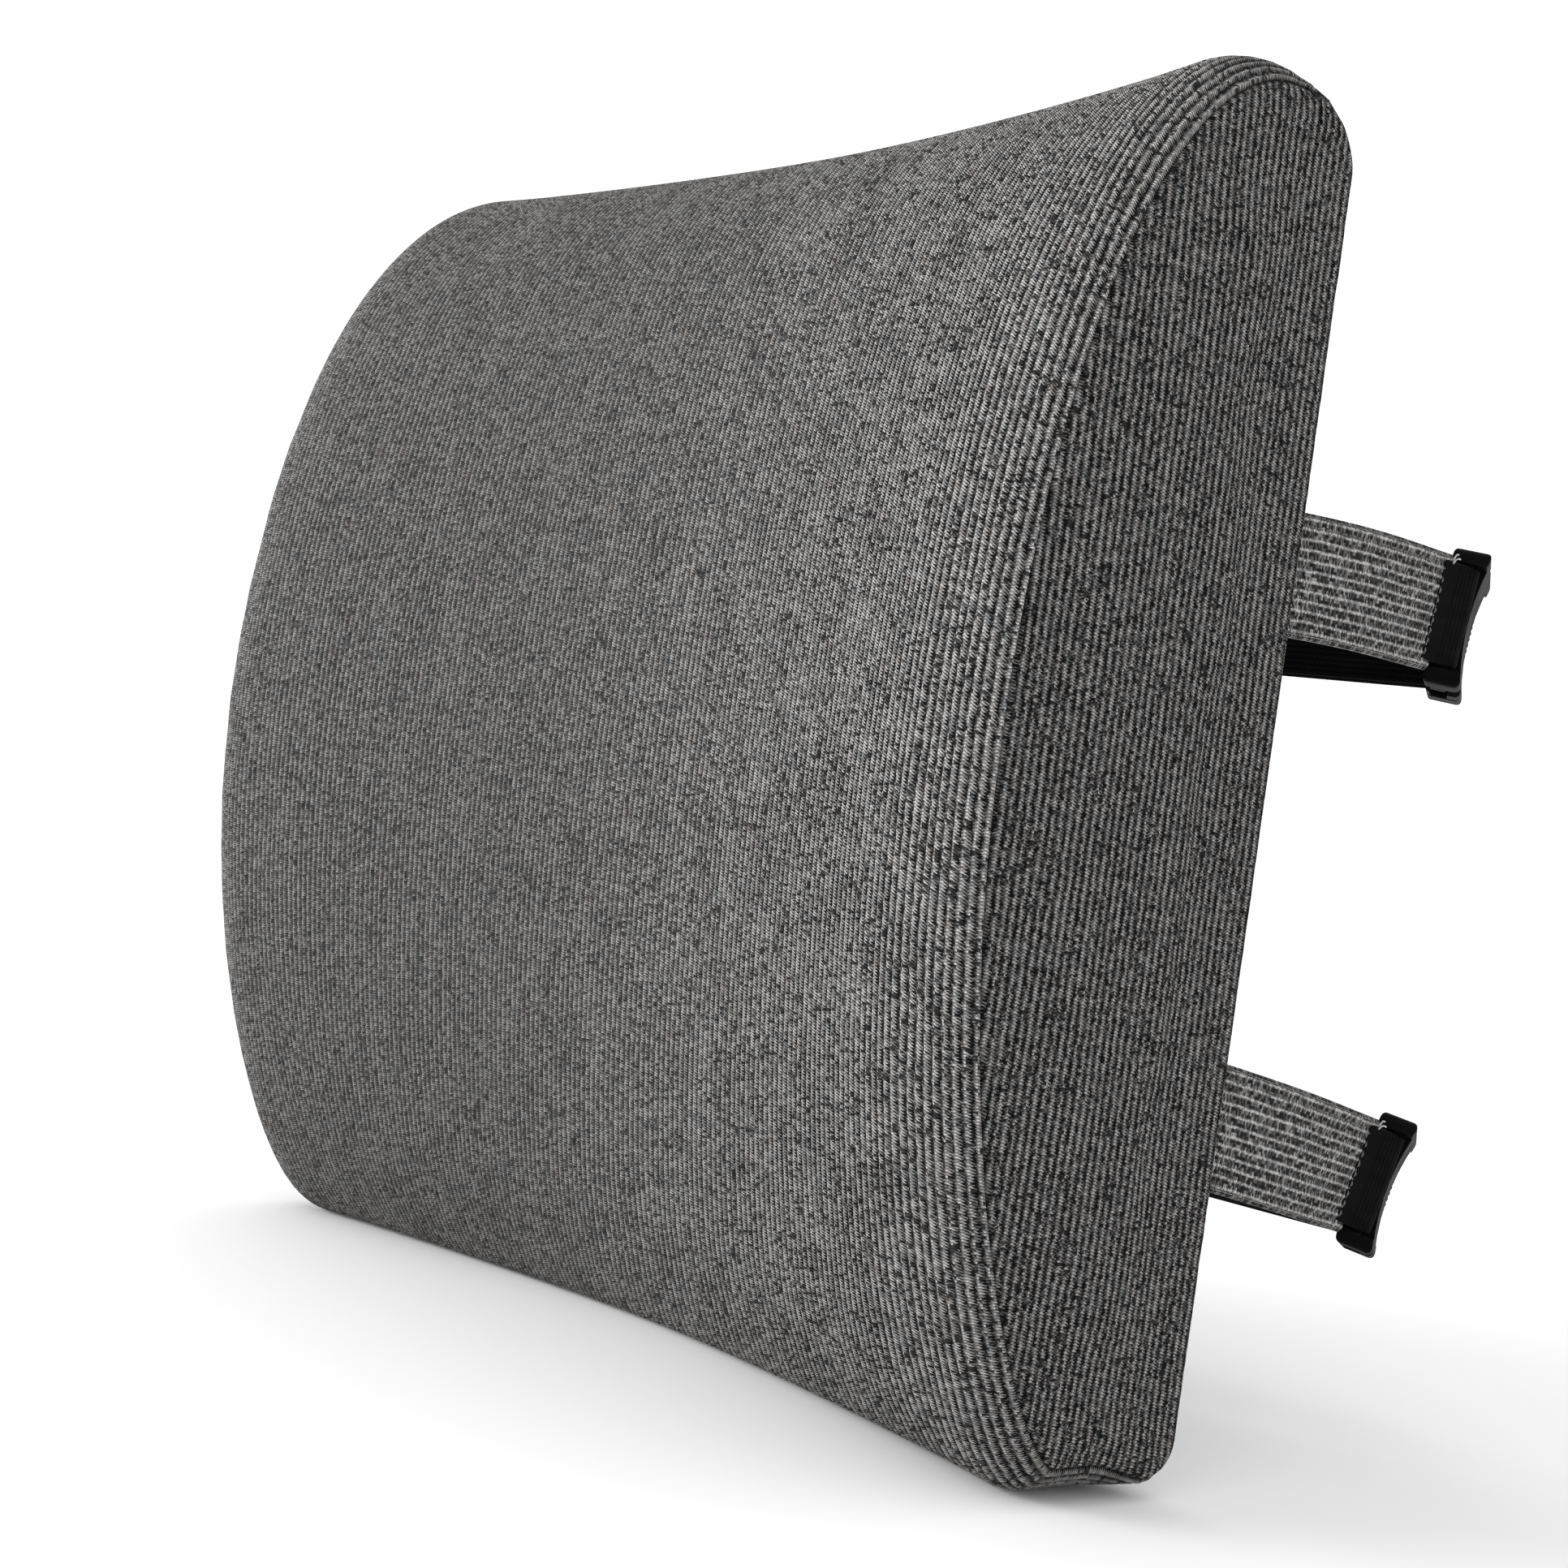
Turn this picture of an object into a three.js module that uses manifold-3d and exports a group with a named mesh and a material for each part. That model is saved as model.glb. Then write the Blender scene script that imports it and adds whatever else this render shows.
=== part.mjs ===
// Lumbar support cushion: a foam core in a zipped knit cover, with two buckled elastic straps behind.
// Millimetres, +Z up, front towards -Y. The origin is on the flat foot, under the middle of the cushion.
import * as THREE from "three";
import { mergeVertices } from "three/addons/utils/BufferGeometryUtils.js";
import Module from "manifold-3d";

const manifold = await Module();
manifold.setup();

// Cushion
const WIDTH = 320; // side to side
const HEIGHT = 325;
const WING_DEPTH = 98; // front to back at the two ends
const WAIST_DEPTH = 50; // front to back in the middle
const DISH_POWER = 1.48; // how the depth grows from the middle to the ends
const DISH_EASE = 0.16; // softens the bottom of the dish, as a share of half the width
const EDGE_RADIUS = 13; // rounding of the lower back edge
const TOP_CORNER_HEIGHT = 24; // the top rounds over this far down the back
const CROWN_HEIGHT = 160; // height of the furthest point forward
const FOOT_SHARE = 0.42; // share of the depth that is flat underneath
const TOP_SHARE = 0.21; // share of the depth that is flat on top
const BELLY_HANDLES = { under: 0.33, low: 0.54, high: 0.66, over: 0.5 }; // fullness of the front curve
const FOOT_SETBACK = 17; // from the origin back to the back face

// Cover
const COVER_THICKNESS = 2;
const END_RADIUS = 24; // rounding from the front panel into each side panel
const ROUND_START = 140; // where that rounding starts, from the middle
const SEAM_FROM_END = 1.6; // the front panel stops this far inside each end
const SEAM_TAPER = 38; // the rounding fades out over this length, towards the back edges
const SIDE_PANEL_THICKNESS = 1.3;
const BACK_PANEL_THICKNESS = 1.6;
const CORE_INSET = 3.2;
const CORE_END = 4.5;
const GAP = 0.3; // between pieces that touch
const STATIONS = [155, 148, ROUND_START, 124, 102, 76, 50, 25]; // sections across half the width
const CLOSEST_STATIONS = 2;

// Zip across the back
const ZIP_HEIGHT = 36;
const ZIP_REACH = 150; // from the middle to the end of the teeth
const TAPE_WIDTH = 5.2;
const TAPE_DEPTHS = [-1.3, -0.5];
const TEETH_DEPTHS = [-0.2, 1.1];
const TEETH_WIDTH = 1.4;
const TEETH_PARTING = 0.8; // from the zip's centre line to either row of teeth
const ZIP_START = 140; // where the slider rests when the zip is closed
const SLIDER_LENGTH = 9;
const SLIDER_PLATE_HALF_HEIGHT = 4;
const SLIDER_OUTER_PLATE = [1.4, 2.4];
const SLIDER_INNER_PLATE = [-2.9, -1.6];
const SLIDER_NECK_HALF_HEIGHT = 0.5; // runs between the two rows of teeth
const BAIL = { halfLength: 2.6, halfHeight: 1.4, foot: 2.2, top: 5.2 };
const BAIL_OPENING = { halfLength: 1.5, foot: 2.4, top: 4.5 };
const PULL_AXIS_DEPTH = 3.6;
const PULL_LENGTH = 24;
const PULL_HALF_HEIGHT = 3.6;
const PULL_HALF_THICKNESS = 0.55;
const PULL_EYE = { start: -3.4, halfHeight: 2 };
const PULL_HOLE = { radius: 1.6, along: -19.5 };
const STOP_HALF_LENGTH = 1.2;
const STOP_HALF_HEIGHT = 2.4;

// Straps
const STRAPS = [
  { name: "upper", height: 210.5, droop: -1.5 },
  { name: "lower", height: 83.5, droop: 10 },
];
const ROOT_X = 157.5; // where both ends of a strap are sewn in
const ROOT_GAP = 2.7; // leaves the flat back free for a plate to lie against
const BAND_WIDTH = 29;
const BAND_THICKNESS = 2.6;
const LOOP_WIDTH = 25;
const LOOP_THICKNESS = 1.4;
const LOOP_TAIL = 9;
const ELASTIC_WIDTH = 25;
const ELASTIC_THICKNESS = 1.5;
const LAYER_OFFSET = 1.85; // from the loop's centre line to either layer of elastic
const BAR_RADIUS = 1.7;
const BAR_CLEARANCE = 0.4;
const BUCKLE_BAR = new THREE.Vector2(160, 64.5); // the socket's bar, from the cushion's back middle
const BAND_END_HEADING = THREE.MathUtils.degToRad(92);
const BUCKLE_HEADING = THREE.MathUtils.degToRad(120.5);
const BUCKLE_LEAN = THREE.MathUtils.degToRad(7); // a buckle hangs with its top turned outwards
const CLIP_BAR = 50.5; // from the socket's bar to the clip's bar
const LEAD_OUT = 4; // straight elastic after the clip
const LAYERS_CLOSE = 3; // the elastic's two layers close up over this length
const TURN_RADIUS = 8; // then it turns and runs back behind the cushion
const ADJUSTER_ALONG = 75; // along that run, as the next two are
const TAIL_END = 150;
const UPRIGHT_START = 160; // from here on, the elastic untwists towards its left end

// Buckle, measured along the strap from the socket's bar
const BUCKLE_HALF_HEIGHT = 17;
const SLOT_HALF_HEIGHT = 13.3;
const SOCKET_SPAN = [-3.5, 38];
const SOCKET_SLOT_END = 5.5;
const CAVITY_START = 12;
const CAVITY_HALF_DEPTH = 2.3;
const GUIDE_RIB = { inner: 4.5, outer: 5.4, start: 14, end: 36 };
const CLIP_SPAN = [38.4, 54];
const CLIP_SLOT_START = 43.5;
const CLIP_HALF_DEPTH = 1.9;
const BUCKLE_SECTION = {
  outer: -5.4,
  hollow: -1.8,
  inner: 3.6,
  crown: 4.6,
  shoulder: 15,
  flare: 0.3,
  rim: 1.6,
};
const SCALLOP = { radius: 14, along: 20, reach: 14.8 }; // bites a finger hollow out of both edges
const TONGUE = { halfHeight: 3.9, shoulder: 19, tip: 15.5 };
const ARM_ROOT = { along: 37.7, inner: 9.4, outer: 12.2 };
const ARM_NECK = { along: 26.5, height: 13.2 };
const ARM_PAD = { start: 19, end: 23.5, height: 16.5 };
const ARM_TIP = { along: 13.4, height: 11.2, inner: 9, innerEnd: 22 };

// Adjuster, measured along the elastic from its centre bar
const ADJUSTER_HALF_LENGTH = 8;
const ADJUSTER_HALF_HEIGHT = 16.8;
const ADJUSTER_BACK = 1.8; // thickness of the frame behind the elastic
const ADJUSTER_FRONT = 0.8;
const ADJUSTER_WINDOW_HALF_HEIGHT = 13.3;
const ADJUSTER_BAR_HALF_WIDTH = 1.6;
const ADJUSTER_SLOT_FROM_BAR = 3.4;

const materials = {
  foam: { color: 0xd9d2c0, roughness: 0.95, metalness: 0 },
  knit: { color: 0x6f6c69, roughness: 0.92, metalness: 0 },
  knitSide: { color: 0x5c5a58, roughness: 0.92, metalness: 0 },
  knitBand: { color: 0x85827e, roughness: 0.92, metalness: 0 },
  webbing: { color: 0x121215, roughness: 0.85, metalness: 0 },
  zipTape: { color: 0x1c1c1f, roughness: 0.85, metalness: 0 },
  plastic: { color: 0x18181b, roughness: 0.35, metalness: 0 },
  metal: { color: 0x2b2b2e, roughness: 0.4, metalness: 0.9 },
};

function makeMesh(name, geometry, material) {
  const mesh = new THREE.Mesh(geometry, new THREE.MeshStandardMaterial(materials[material]));
  mesh.name = name;
  return mesh;
}

function signedVolume(points, triangles) {
  const cross = new THREE.Vector3();
  let volume = 0;
  for (let i = 0; i < triangles.length; i += 3) {
    const [a, b, c] = [points[triangles[i]], points[triangles[i + 1]], points[triangles[i + 2]]];
    volume += a.dot(cross.crossVectors(b, c));
  }
  return volume;
}

// A flat outline's triangles, each wound the way that the outline is.
function capFaces(outline) {
  const winding = Math.sign(THREE.ShapeUtils.area(outline));
  return THREE.ShapeUtils.triangulateShape(outline, []).map(([a, b, c]) => {
    const area = THREE.ShapeUtils.area([outline[a], outline[b], outline[c]]);
    return Math.sign(area) === winding ? [a, b, c] : [a, c, b];
  });
}

// A closed solid through a row of rings that all have the same number of points.
function loftSolid(rings, flatten) {
  const count = rings[0].length;
  const points = rings.flat();
  const triangles = [];
  for (let r = 0; r + 1 < rings.length; r += 1) {
    for (let i = 0; i < count; i += 1) {
      const a = r * count + i;
      const b = r * count + ((i + 1) % count);
      triangles.push(a, b, a + count, b, b + count, a + count);
    }
  }
  const firstRing = rings[0];
  const lastRing = rings[rings.length - 1];
  const last = points.length - count;
  for (const [a, b, c] of capFaces(firstRing.map(flatten))) {
    triangles.push(a, c, b);
  }
  for (const [a, b, c] of capFaces(lastRing.map(flatten))) {
    triangles.push(last + a, last + b, last + c);
  }
  if (signedVolume(points, triangles) < 0) {
    triangles.reverse();
  }
  const geometry = new THREE.BufferGeometry().setFromPoints(points);
  geometry.setIndex(triangles);
  return geometry;
}

// The outline of the cushion's section from the bottom of the back, round the front, to the top of the back.
function sectionOutline(depth) {
  const point = (y, z) => new THREE.Vector2(y, z);
  const foot = Math.max(FOOT_SHARE * depth, EDGE_RADIUS + 1);
  const top = TOP_SHARE * depth;
  const { under, low, high, over } = BELLY_HANDLES;
  const curves = [
    [new THREE.EllipseCurve(-EDGE_RADIUS, EDGE_RADIUS, EDGE_RADIUS, EDGE_RADIUS, 0, -Math.PI / 2, true), 5],
    [new THREE.LineCurve(point(-EDGE_RADIUS, 0), point(-foot, 0)), 2],
    [
      new THREE.CubicBezierCurve(
        point(-foot, 0),
        point(-foot - (depth - foot) * under, 0),
        point(-depth, CROWN_HEIGHT * (1 - low)),
        point(-depth, CROWN_HEIGHT),
      ),
      9,
    ],
    [
      new THREE.CubicBezierCurve(
        point(-depth, CROWN_HEIGHT),
        point(-depth, CROWN_HEIGHT + (HEIGHT - CROWN_HEIGHT) * high),
        point(-top - (depth - top) * over, HEIGHT),
        point(-top - 0.5, HEIGHT),
      ),
      9,
    ],
    [
      new THREE.EllipseCurve(
        -top,
        HEIGHT - TOP_CORNER_HEIGHT,
        top,
        TOP_CORNER_HEIGHT,
        Math.PI / 2,
        0,
        true,
      ),
      5,
    ],
  ];
  const points = [];
  for (const [curve, steps] of curves) {
    for (let i = points.length > 0 ? 1 : 0; i <= steps; i += 1) {
      points.push(curve.getPoint(i / steps));
    }
  }
  return points;
}

function smoothStep(t) {
  const c = THREE.MathUtils.clamp(t, 0, 1);
  return c * c * (3 - 2 * c);
}

// Moves an outline inwards: by "even" all along, and by "rounded" fading out towards both back edges.
function insetOutline(points, even, rounded) {
  const travelled = [0];
  for (let i = 1; i < points.length; i += 1) {
    travelled.push(travelled[i - 1] + points[i].distanceTo(points[i - 1]));
  }
  const total = travelled[points.length - 1];
  return points.map((p, i) => {
    const before = points[Math.max(i - 1, 0)];
    const after = points[Math.min(i + 1, points.length - 1)];
    const along = after.clone().sub(before).normalize();
    if (i === 0 || i === points.length - 1) {
      along.set(0, -1);
    }
    const fade = smoothStep(Math.min(travelled[i], total - travelled[i]) / SEAM_TAPER);
    const amount = even + rounded * fade;
    return new THREE.Vector2(p.x + along.y * amount, p.y - along.x * amount);
  });
}

function depthAt(x) {
  const lift = (share) => (share ** 2 + DISH_EASE ** 2) ** (DISH_POWER / 2);
  const share = (lift((2 * x) / WIDTH) - lift(0)) / (lift(1) - lift(0));
  return WAIST_DEPTH + (WING_DEPTH - WAIST_DEPTH) * share;
}

function endRounding(x) {
  const past = Math.max(Math.abs(x) - ROUND_START, 0);
  return END_RADIUS - Math.sqrt(END_RADIUS ** 2 - past ** 2);
}

function sectionAt(x, even) {
  return insetOutline(sectionOutline(depthAt(x)), even, endRounding(x));
}

function atX(x) {
  return (p) => new THREE.Vector3(x, p.x, p.y);
}

const flattenX = (p) => new THREE.Vector2(p.y, p.z);

// Stations across the cushion, closer together where the ends round over.
function stations(endInset) {
  const end = WIDTH / 2 - endInset;
  const near = [end, ...STATIONS.filter((x) => x < end - CLOSEST_STATIONS)];
  return [...near.map((x) => -x), 0, ...near.reverse()];
}

function frontPanel() {
  const rings = stations(SEAM_FROM_END).map((x) => {
    const outside = sectionAt(x, 0).map(atX(x));
    const inside = sectionAt(x, COVER_THICKNESS).map(atX(x));
    return [...outside, ...inside.reverse()];
  });
  return loftSolid(rings, flattenX);
}

function foamCore() {
  const rings = stations(CORE_END).map((x) => sectionAt(x, CORE_INSET).map(atX(x)));
  return loftSolid(rings, flattenX);
}

function sidePanel(side) {
  const seamX = WIDTH / 2 - SEAM_FROM_END;
  const outline = insetOutline(sectionOutline(WING_DEPTH), GAP, endRounding(seamX));
  const inner = side * (WIDTH / 2 - SIDE_PANEL_THICKNESS);
  const outer = (side * WIDTH) / 2;
  return loftSolid([outline.map(atX(inner)), outline.map(atX(outer))], flattenX);
}

// A box from its lowest to its highest corner.
function box(x, y, z) {
  const geometry = new THREE.BoxGeometry(x[1] - x[0], y[1] - y[0], z[1] - z[0]);
  return geometry.translate((x[0] + x[1]) / 2, (y[0] + y[1]) / 2, (z[0] + z[1]) / 2);
}

function toSolid(geometry) {
  const plain = new THREE.BufferGeometry();
  plain.setAttribute("position", geometry.getAttribute("position").clone());
  if (geometry.index) {
    plain.setIndex(geometry.index.clone());
  }
  const merged = mergeVertices(plain, 1e-4);
  const vertProperties = new Float32Array(merged.getAttribute("position").array);
  const triVerts = new Uint32Array(merged.index.array);
  return new manifold.Manifold(new manifold.Mesh({ numProp: 3, vertProperties, triVerts }));
}

function toGeometry(solid) {
  const { vertProperties, triVerts } = solid.getMesh();
  const geometry = new THREE.BufferGeometry();
  geometry.setAttribute("position", new THREE.BufferAttribute(new Float32Array(vertProperties), 3));
  geometry.setIndex(new THREE.BufferAttribute(new Uint32Array(triVerts), 1));
  return geometry;
}

function cut(solid, ...geometries) {
  return geometries.reduce((left, geometry) => left.subtract(toSolid(geometry)), solid);
}

function join(solid, ...geometries) {
  return geometries.reduce((whole, geometry) => whole.add(toSolid(geometry)), solid);
}

// An outline in the strap's own length and height, made solid across its thickness.
function extrudeAcross(shape, near, far) {
  const options = { depth: far - near, bevelEnabled: false, curveSegments: 5 };
  const geometry = new THREE.ExtrudeGeometry(shape, options);
  return geometry.rotateX(Math.PI / 2).translate(0, far, 0);
}

// An outline in depth and height, made solid along the strap.
function extrudeAlong(shape, start, end) {
  const options = { depth: end - start, bevelEnabled: false, curveSegments: 7 };
  const geometry = new THREE.ExtrudeGeometry(shape, options);
  const turn = new THREE.Matrix4().makeBasis(
    new THREE.Vector3(0, 1, 0),
    new THREE.Vector3(0, 0, 1),
    new THREE.Vector3(1, 0, 0),
  );
  return geometry.applyMatrix4(turn).translate(start, 0, 0);
}

function roundedRectangle(x, z, startRadius, endRadius) {
  const shape = new THREE.Shape();
  const quarter = Math.PI / 2;
  shape.absarc(x[0] + startRadius, z[0] + startRadius, startRadius, -2 * quarter, -quarter, false);
  shape.absarc(x[1] - endRadius, z[0] + endRadius, endRadius, -quarter, 0, false);
  shape.absarc(x[1] - endRadius, z[1] - endRadius, endRadius, 0, quarter, false);
  shape.absarc(x[0] + startRadius, z[1] - startRadius, startRadius, quarter, 2 * quarter, false);
  return shape;
}

function bar(x, halfHeight) {
  const geometry = new THREE.CylinderGeometry(BAR_RADIUS, BAR_RADIUS, 2 * halfHeight, 16);
  return geometry.rotateX(Math.PI / 2).translate(x, 0, 0);
}

// The buckle's section in depth and height: hollowed on the outside, crowned on the inside.
function buckleSection() {
  const { outer, hollow, inner, crown, shoulder, flare, rim } = BUCKLE_SECTION;
  const top = BUCKLE_HALF_HEIGHT;
  const shape = new THREE.Shape();
  shape.moveTo(outer, -shoulder);
  shape.quadraticCurveTo(hollow, 0, outer, shoulder);
  shape.quadraticCurveTo(outer - flare, top, outer + rim, top);
  shape.lineTo(inner - rim, top);
  shape.quadraticCurveTo(inner, top, inner, shoulder);
  shape.quadraticCurveTo(crown, 0, inner, -shoulder);
  shape.quadraticCurveTo(inner, -top, inner - rim, -top);
  shape.lineTo(outer + rim, -top);
  shape.quadraticCurveTo(outer - flare, -top, outer, -shoulder);
  return shape;
}

const BUCKLE_HEIGHTS = [-BUCKLE_HALF_HEIGHT, BUCKLE_HALF_HEIGHT];
const SLOT_HEIGHTS = [-SLOT_HALF_HEIGHT, SLOT_HALF_HEIGHT];
const THROUGH = [-10, 10];

function buckleBlank(span, startRadius, endRadius) {
  const plan = extrudeAcross(roundedRectangle(span, BUCKLE_HEIGHTS, startRadius, endRadius), ...THROUGH);
  return toSolid(extrudeAlong(buckleSection(), ...span)).intersect(toSolid(plan));
}

function buckleSocket() {
  const scallop = (side) => {
    const { radius, along, reach } = SCALLOP;
    const geometry = new THREE.CylinderGeometry(radius, radius, THROUGH[1] - THROUGH[0], 32);
    return geometry.translate(along, 0, side * (reach + radius));
  };
  const cavity = box(
    [CAVITY_START, SOCKET_SPAN[1] + 1],
    [-CAVITY_HALF_DEPTH, CAVITY_HALF_DEPTH],
    [-BUCKLE_HALF_HEIGHT - 1, BUCKLE_HALF_HEIGHT + 1],
  );
  const rib = (side) => {
    const heights = [side * GUIDE_RIB.inner, side * GUIDE_RIB.outer].sort((a, b) => a - b);
    const depths = [-CAVITY_HALF_DEPTH - 0.5, CAVITY_HALF_DEPTH + 0.5];
    return box([GUIDE_RIB.start, GUIDE_RIB.end], depths, heights);
  };
  const slot = box([SOCKET_SPAN[0] - 1, SOCKET_SLOT_END], THROUGH, SLOT_HEIGHTS);
  const blank = buckleBlank(SOCKET_SPAN, 4.5, 1.5);
  const hollowed = cut(blank, cavity, slot, scallop(-1), scallop(1));
  return toGeometry(join(hollowed, rib(-1), rib(1), bar(0, SLOT_HALF_HEIGHT + 1)));
}

function buckleClip() {
  const slot = box([CLIP_SLOT_START, CLIP_SPAN[1] + 1], THROUGH, SLOT_HEIGHTS);
  const blank = cut(buckleBlank(CLIP_SPAN, 1, 4), slot);
  const { halfHeight, shoulder, tip } = TONGUE;
  const base = CLIP_SPAN[0] + 1;
  const guide = new THREE.Shape();
  guide.moveTo(base, -halfHeight);
  guide.lineTo(base, halfHeight);
  guide.lineTo(shoulder, halfHeight);
  guide.quadraticCurveTo(tip, halfHeight, tip, 0);
  guide.quadraticCurveTo(tip, -halfHeight, shoulder, -halfHeight);
  const tongue = extrudeAcross(guide, -CLIP_HALF_DEPTH, CLIP_HALF_DEPTH);
  return toGeometry(join(blank, tongue, bar(CLIP_BAR, SLOT_HALF_HEIGHT + 1)));
}

// One of the two arms that are squeezed to let the clip go; its pad shows in the socket's open side.
function clipArm(side) {
  const tipMiddle = (ARM_TIP.inner + ARM_TIP.height) / 2;
  const shape = new THREE.Shape();
  shape.moveTo(ARM_ROOT.along, side * ARM_ROOT.inner);
  shape.lineTo(ARM_ROOT.along, side * ARM_ROOT.outer);
  shape.quadraticCurveTo(ARM_NECK.along + 3, side * ARM_NECK.height, ARM_NECK.along, side * ARM_NECK.height);
  shape.quadraticCurveTo(ARM_NECK.along - 1, side * ARM_PAD.height, ARM_PAD.end, side * ARM_PAD.height);
  shape.lineTo(ARM_PAD.start, side * ARM_PAD.height);
  shape.quadraticCurveTo(ARM_TIP.along, side * (ARM_PAD.height - 1), ARM_TIP.along, side * ARM_TIP.height);
  shape.quadraticCurveTo(ARM_TIP.along, side * tipMiddle, ARM_TIP.along + 2, side * ARM_TIP.inner);
  shape.lineTo(ARM_TIP.innerEnd, side * ARM_TIP.inner);
  const geometry = extrudeAcross(shape, -CLIP_HALF_DEPTH, CLIP_HALF_DEPTH);
  return toGeometry(toSolid(geometry));
}

function strapAdjuster() {
  const outside = LAYER_OFFSET + ELASTIC_THICKNESS / 2 + GAP;
  const halfWidth = ADJUSTER_BAR_HALF_WIDTH;
  const window = [-ADJUSTER_WINDOW_HALF_HEIGHT, ADJUSTER_WINDOW_HALF_HEIGHT];
  const length = [-ADJUSTER_HALF_LENGTH, ADJUSTER_HALF_LENGTH];
  const height = [-ADJUSTER_HALF_HEIGHT, ADJUSTER_HALF_HEIGHT];
  const plan = roundedRectangle(length, height, 2.5, 2.5);
  const blank = extrudeAcross(plan, -outside - ADJUSTER_BACK, ADJUSTER_FRONT);
  const channel = box(THROUGH, [-outside, THROUGH[1]], window);
  const slots = [-1, 0, 1].map((side) => {
    const middle = side * ADJUSTER_SLOT_FROM_BAR;
    return box([middle - halfWidth, middle + halfWidth], THROUGH, window);
  });
  const barHeight = [window[0] - 1.4, window[1] + 1.4];
  const centreBar = box([-halfWidth, halfWidth], [-ADJUSTER_FRONT, ADJUSTER_FRONT], barHeight);
  return toGeometry(join(cut(toSolid(blank), channel, ...slots), centreBar));
}

// A flat strip through stations, each with its middle and the way that the strip's width points.
function strip(stationList, thickness, width) {
  const faces = stationList.map(({ up }, i) => {
    const before = stationList[Math.max(i - 1, 0)].middle;
    const after = stationList[Math.min(i + 1, stationList.length - 1)].middle;
    return new THREE.Vector3().crossVectors(up, after.clone().sub(before)).normalize();
  });
  const rings = stationList.map(({ middle, up }, i) => {
    const corner = (outwards, upwards) => {
      const edge = middle.clone().addScaledVector(up, (upwards * width) / 2);
      return edge.addScaledVector(faces[i], (outwards * thickness) / 2);
    };
    return [corner(1, 1), corner(1, -1), corner(-1, -1), corner(-1, 1)];
  });
  const flatten = (v) => new THREE.Vector2(v.dot(faces[0]), v.z);
  return loftSolid(rings, flatten);
}

function headingVector(heading) {
  return new THREE.Vector2(Math.cos(heading), Math.sin(heading));
}

const VERTICAL = new THREE.Vector3(0, 0, 1);

function inPlan(p) {
  return new THREE.Vector3(p.x, p.y, 0);
}

// Across a strap with this heading whose top leans outwards: the way its width points, and out of its face.
function leaningFrame(heading, lean) {
  const outward = new THREE.Vector3(Math.sin(heading), -Math.cos(heading), 0);
  const up = VERTICAL.clone().multiplyScalar(Math.cos(lean)).addScaledVector(outward, Math.sin(lean));
  const face = outward.multiplyScalar(Math.cos(lean)).addScaledVector(VERTICAL, -Math.sin(lean));
  return { up, face };
}

function rootDepth(droop) {
  return ROOT_GAP + (BAND_WIDTH / 2) * Math.abs(Math.sin(THREE.MathUtils.degToRad(droop)));
}

// The knit band, upright at its root and leaning with the buckle at its end.
function bandStations(droop) {
  const root = new THREE.Vector2(ROOT_X, rootDepth(droop));
  const arrival = headingVector(BAND_END_HEADING);
  const end = BUCKLE_BAR.clone().addScaledVector(arrival, -LOOP_TAIL - GAP);
  const curve = new THREE.CubicBezierCurve(
    root,
    root.clone().addScaledVector(headingVector(THREE.MathUtils.degToRad(72)), 20),
    end.clone().addScaledVector(arrival, -20),
    end,
  );
  const endUp = leaningFrame(BUCKLE_HEADING, BUCKLE_LEAN).up;
  const steps = 10;
  return curve.getPoints(steps).map((p, i) => {
    const up = VERTICAL.clone().lerp(endUp, smoothStep(i / steps)).normalize();
    return { middle: inPlan(p), up };
  });
}

// Webbing folded round a bar at the origin, its two ends lying together towards -X.
function loopStations() {
  const radius = BAR_RADIUS + BAR_CLEARANCE + LOOP_THICKNESS / 2;
  const apart = LOOP_THICKNESS / 2 + GAP;
  const turn = new THREE.EllipseCurve(0, 0, radius, radius, -Math.PI * 0.62, Math.PI * 0.62, false);
  const path = [
    new THREE.Vector2(-LOOP_TAIL, -apart),
    new THREE.Vector2(-LOOP_TAIL + 3, -apart),
    ...turn.getPoints(12),
    new THREE.Vector2(-LOOP_TAIL + 3, apart),
    new THREE.Vector2(-LOOP_TAIL, apart),
  ];
  return path.map((p) => ({ middle: inPlan(p), up: VERTICAL }));
}

// The elastic's way from the clip's bar: a short lead, a tight turn, then a straight run to its left end.
function elasticRoute(droop) {
  const forward = headingVector(BUCKLE_HEADING);
  const clipBar = BUCKLE_BAR.clone().addScaledVector(forward, CLIP_BAR);
  const turnStart = clipBar.clone().addScaledVector(forward, LEAD_OUT);
  const left = BUCKLE_HEADING + Math.PI / 2;
  const centre = turnStart.clone().addScaledVector(headingVector(left), TURN_RADIUS);
  const root = new THREE.Vector2(-ROOT_X, rootDepth(droop) + LAYER_OFFSET + GAP);
  const toRoot = root.clone().sub(centre);
  const bearing = Math.atan2(toRoot.y, toRoot.x) + Math.asin(TURN_RADIUS / toRoot.length());
  const runHeading = bearing < 0 ? bearing + 2 * Math.PI : bearing;
  const runStart = centre.clone().addScaledVector(headingVector(runHeading - Math.PI / 2), TURN_RADIUS);
  return { clipBar, centre, root, runHeading, runStart };
}

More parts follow.
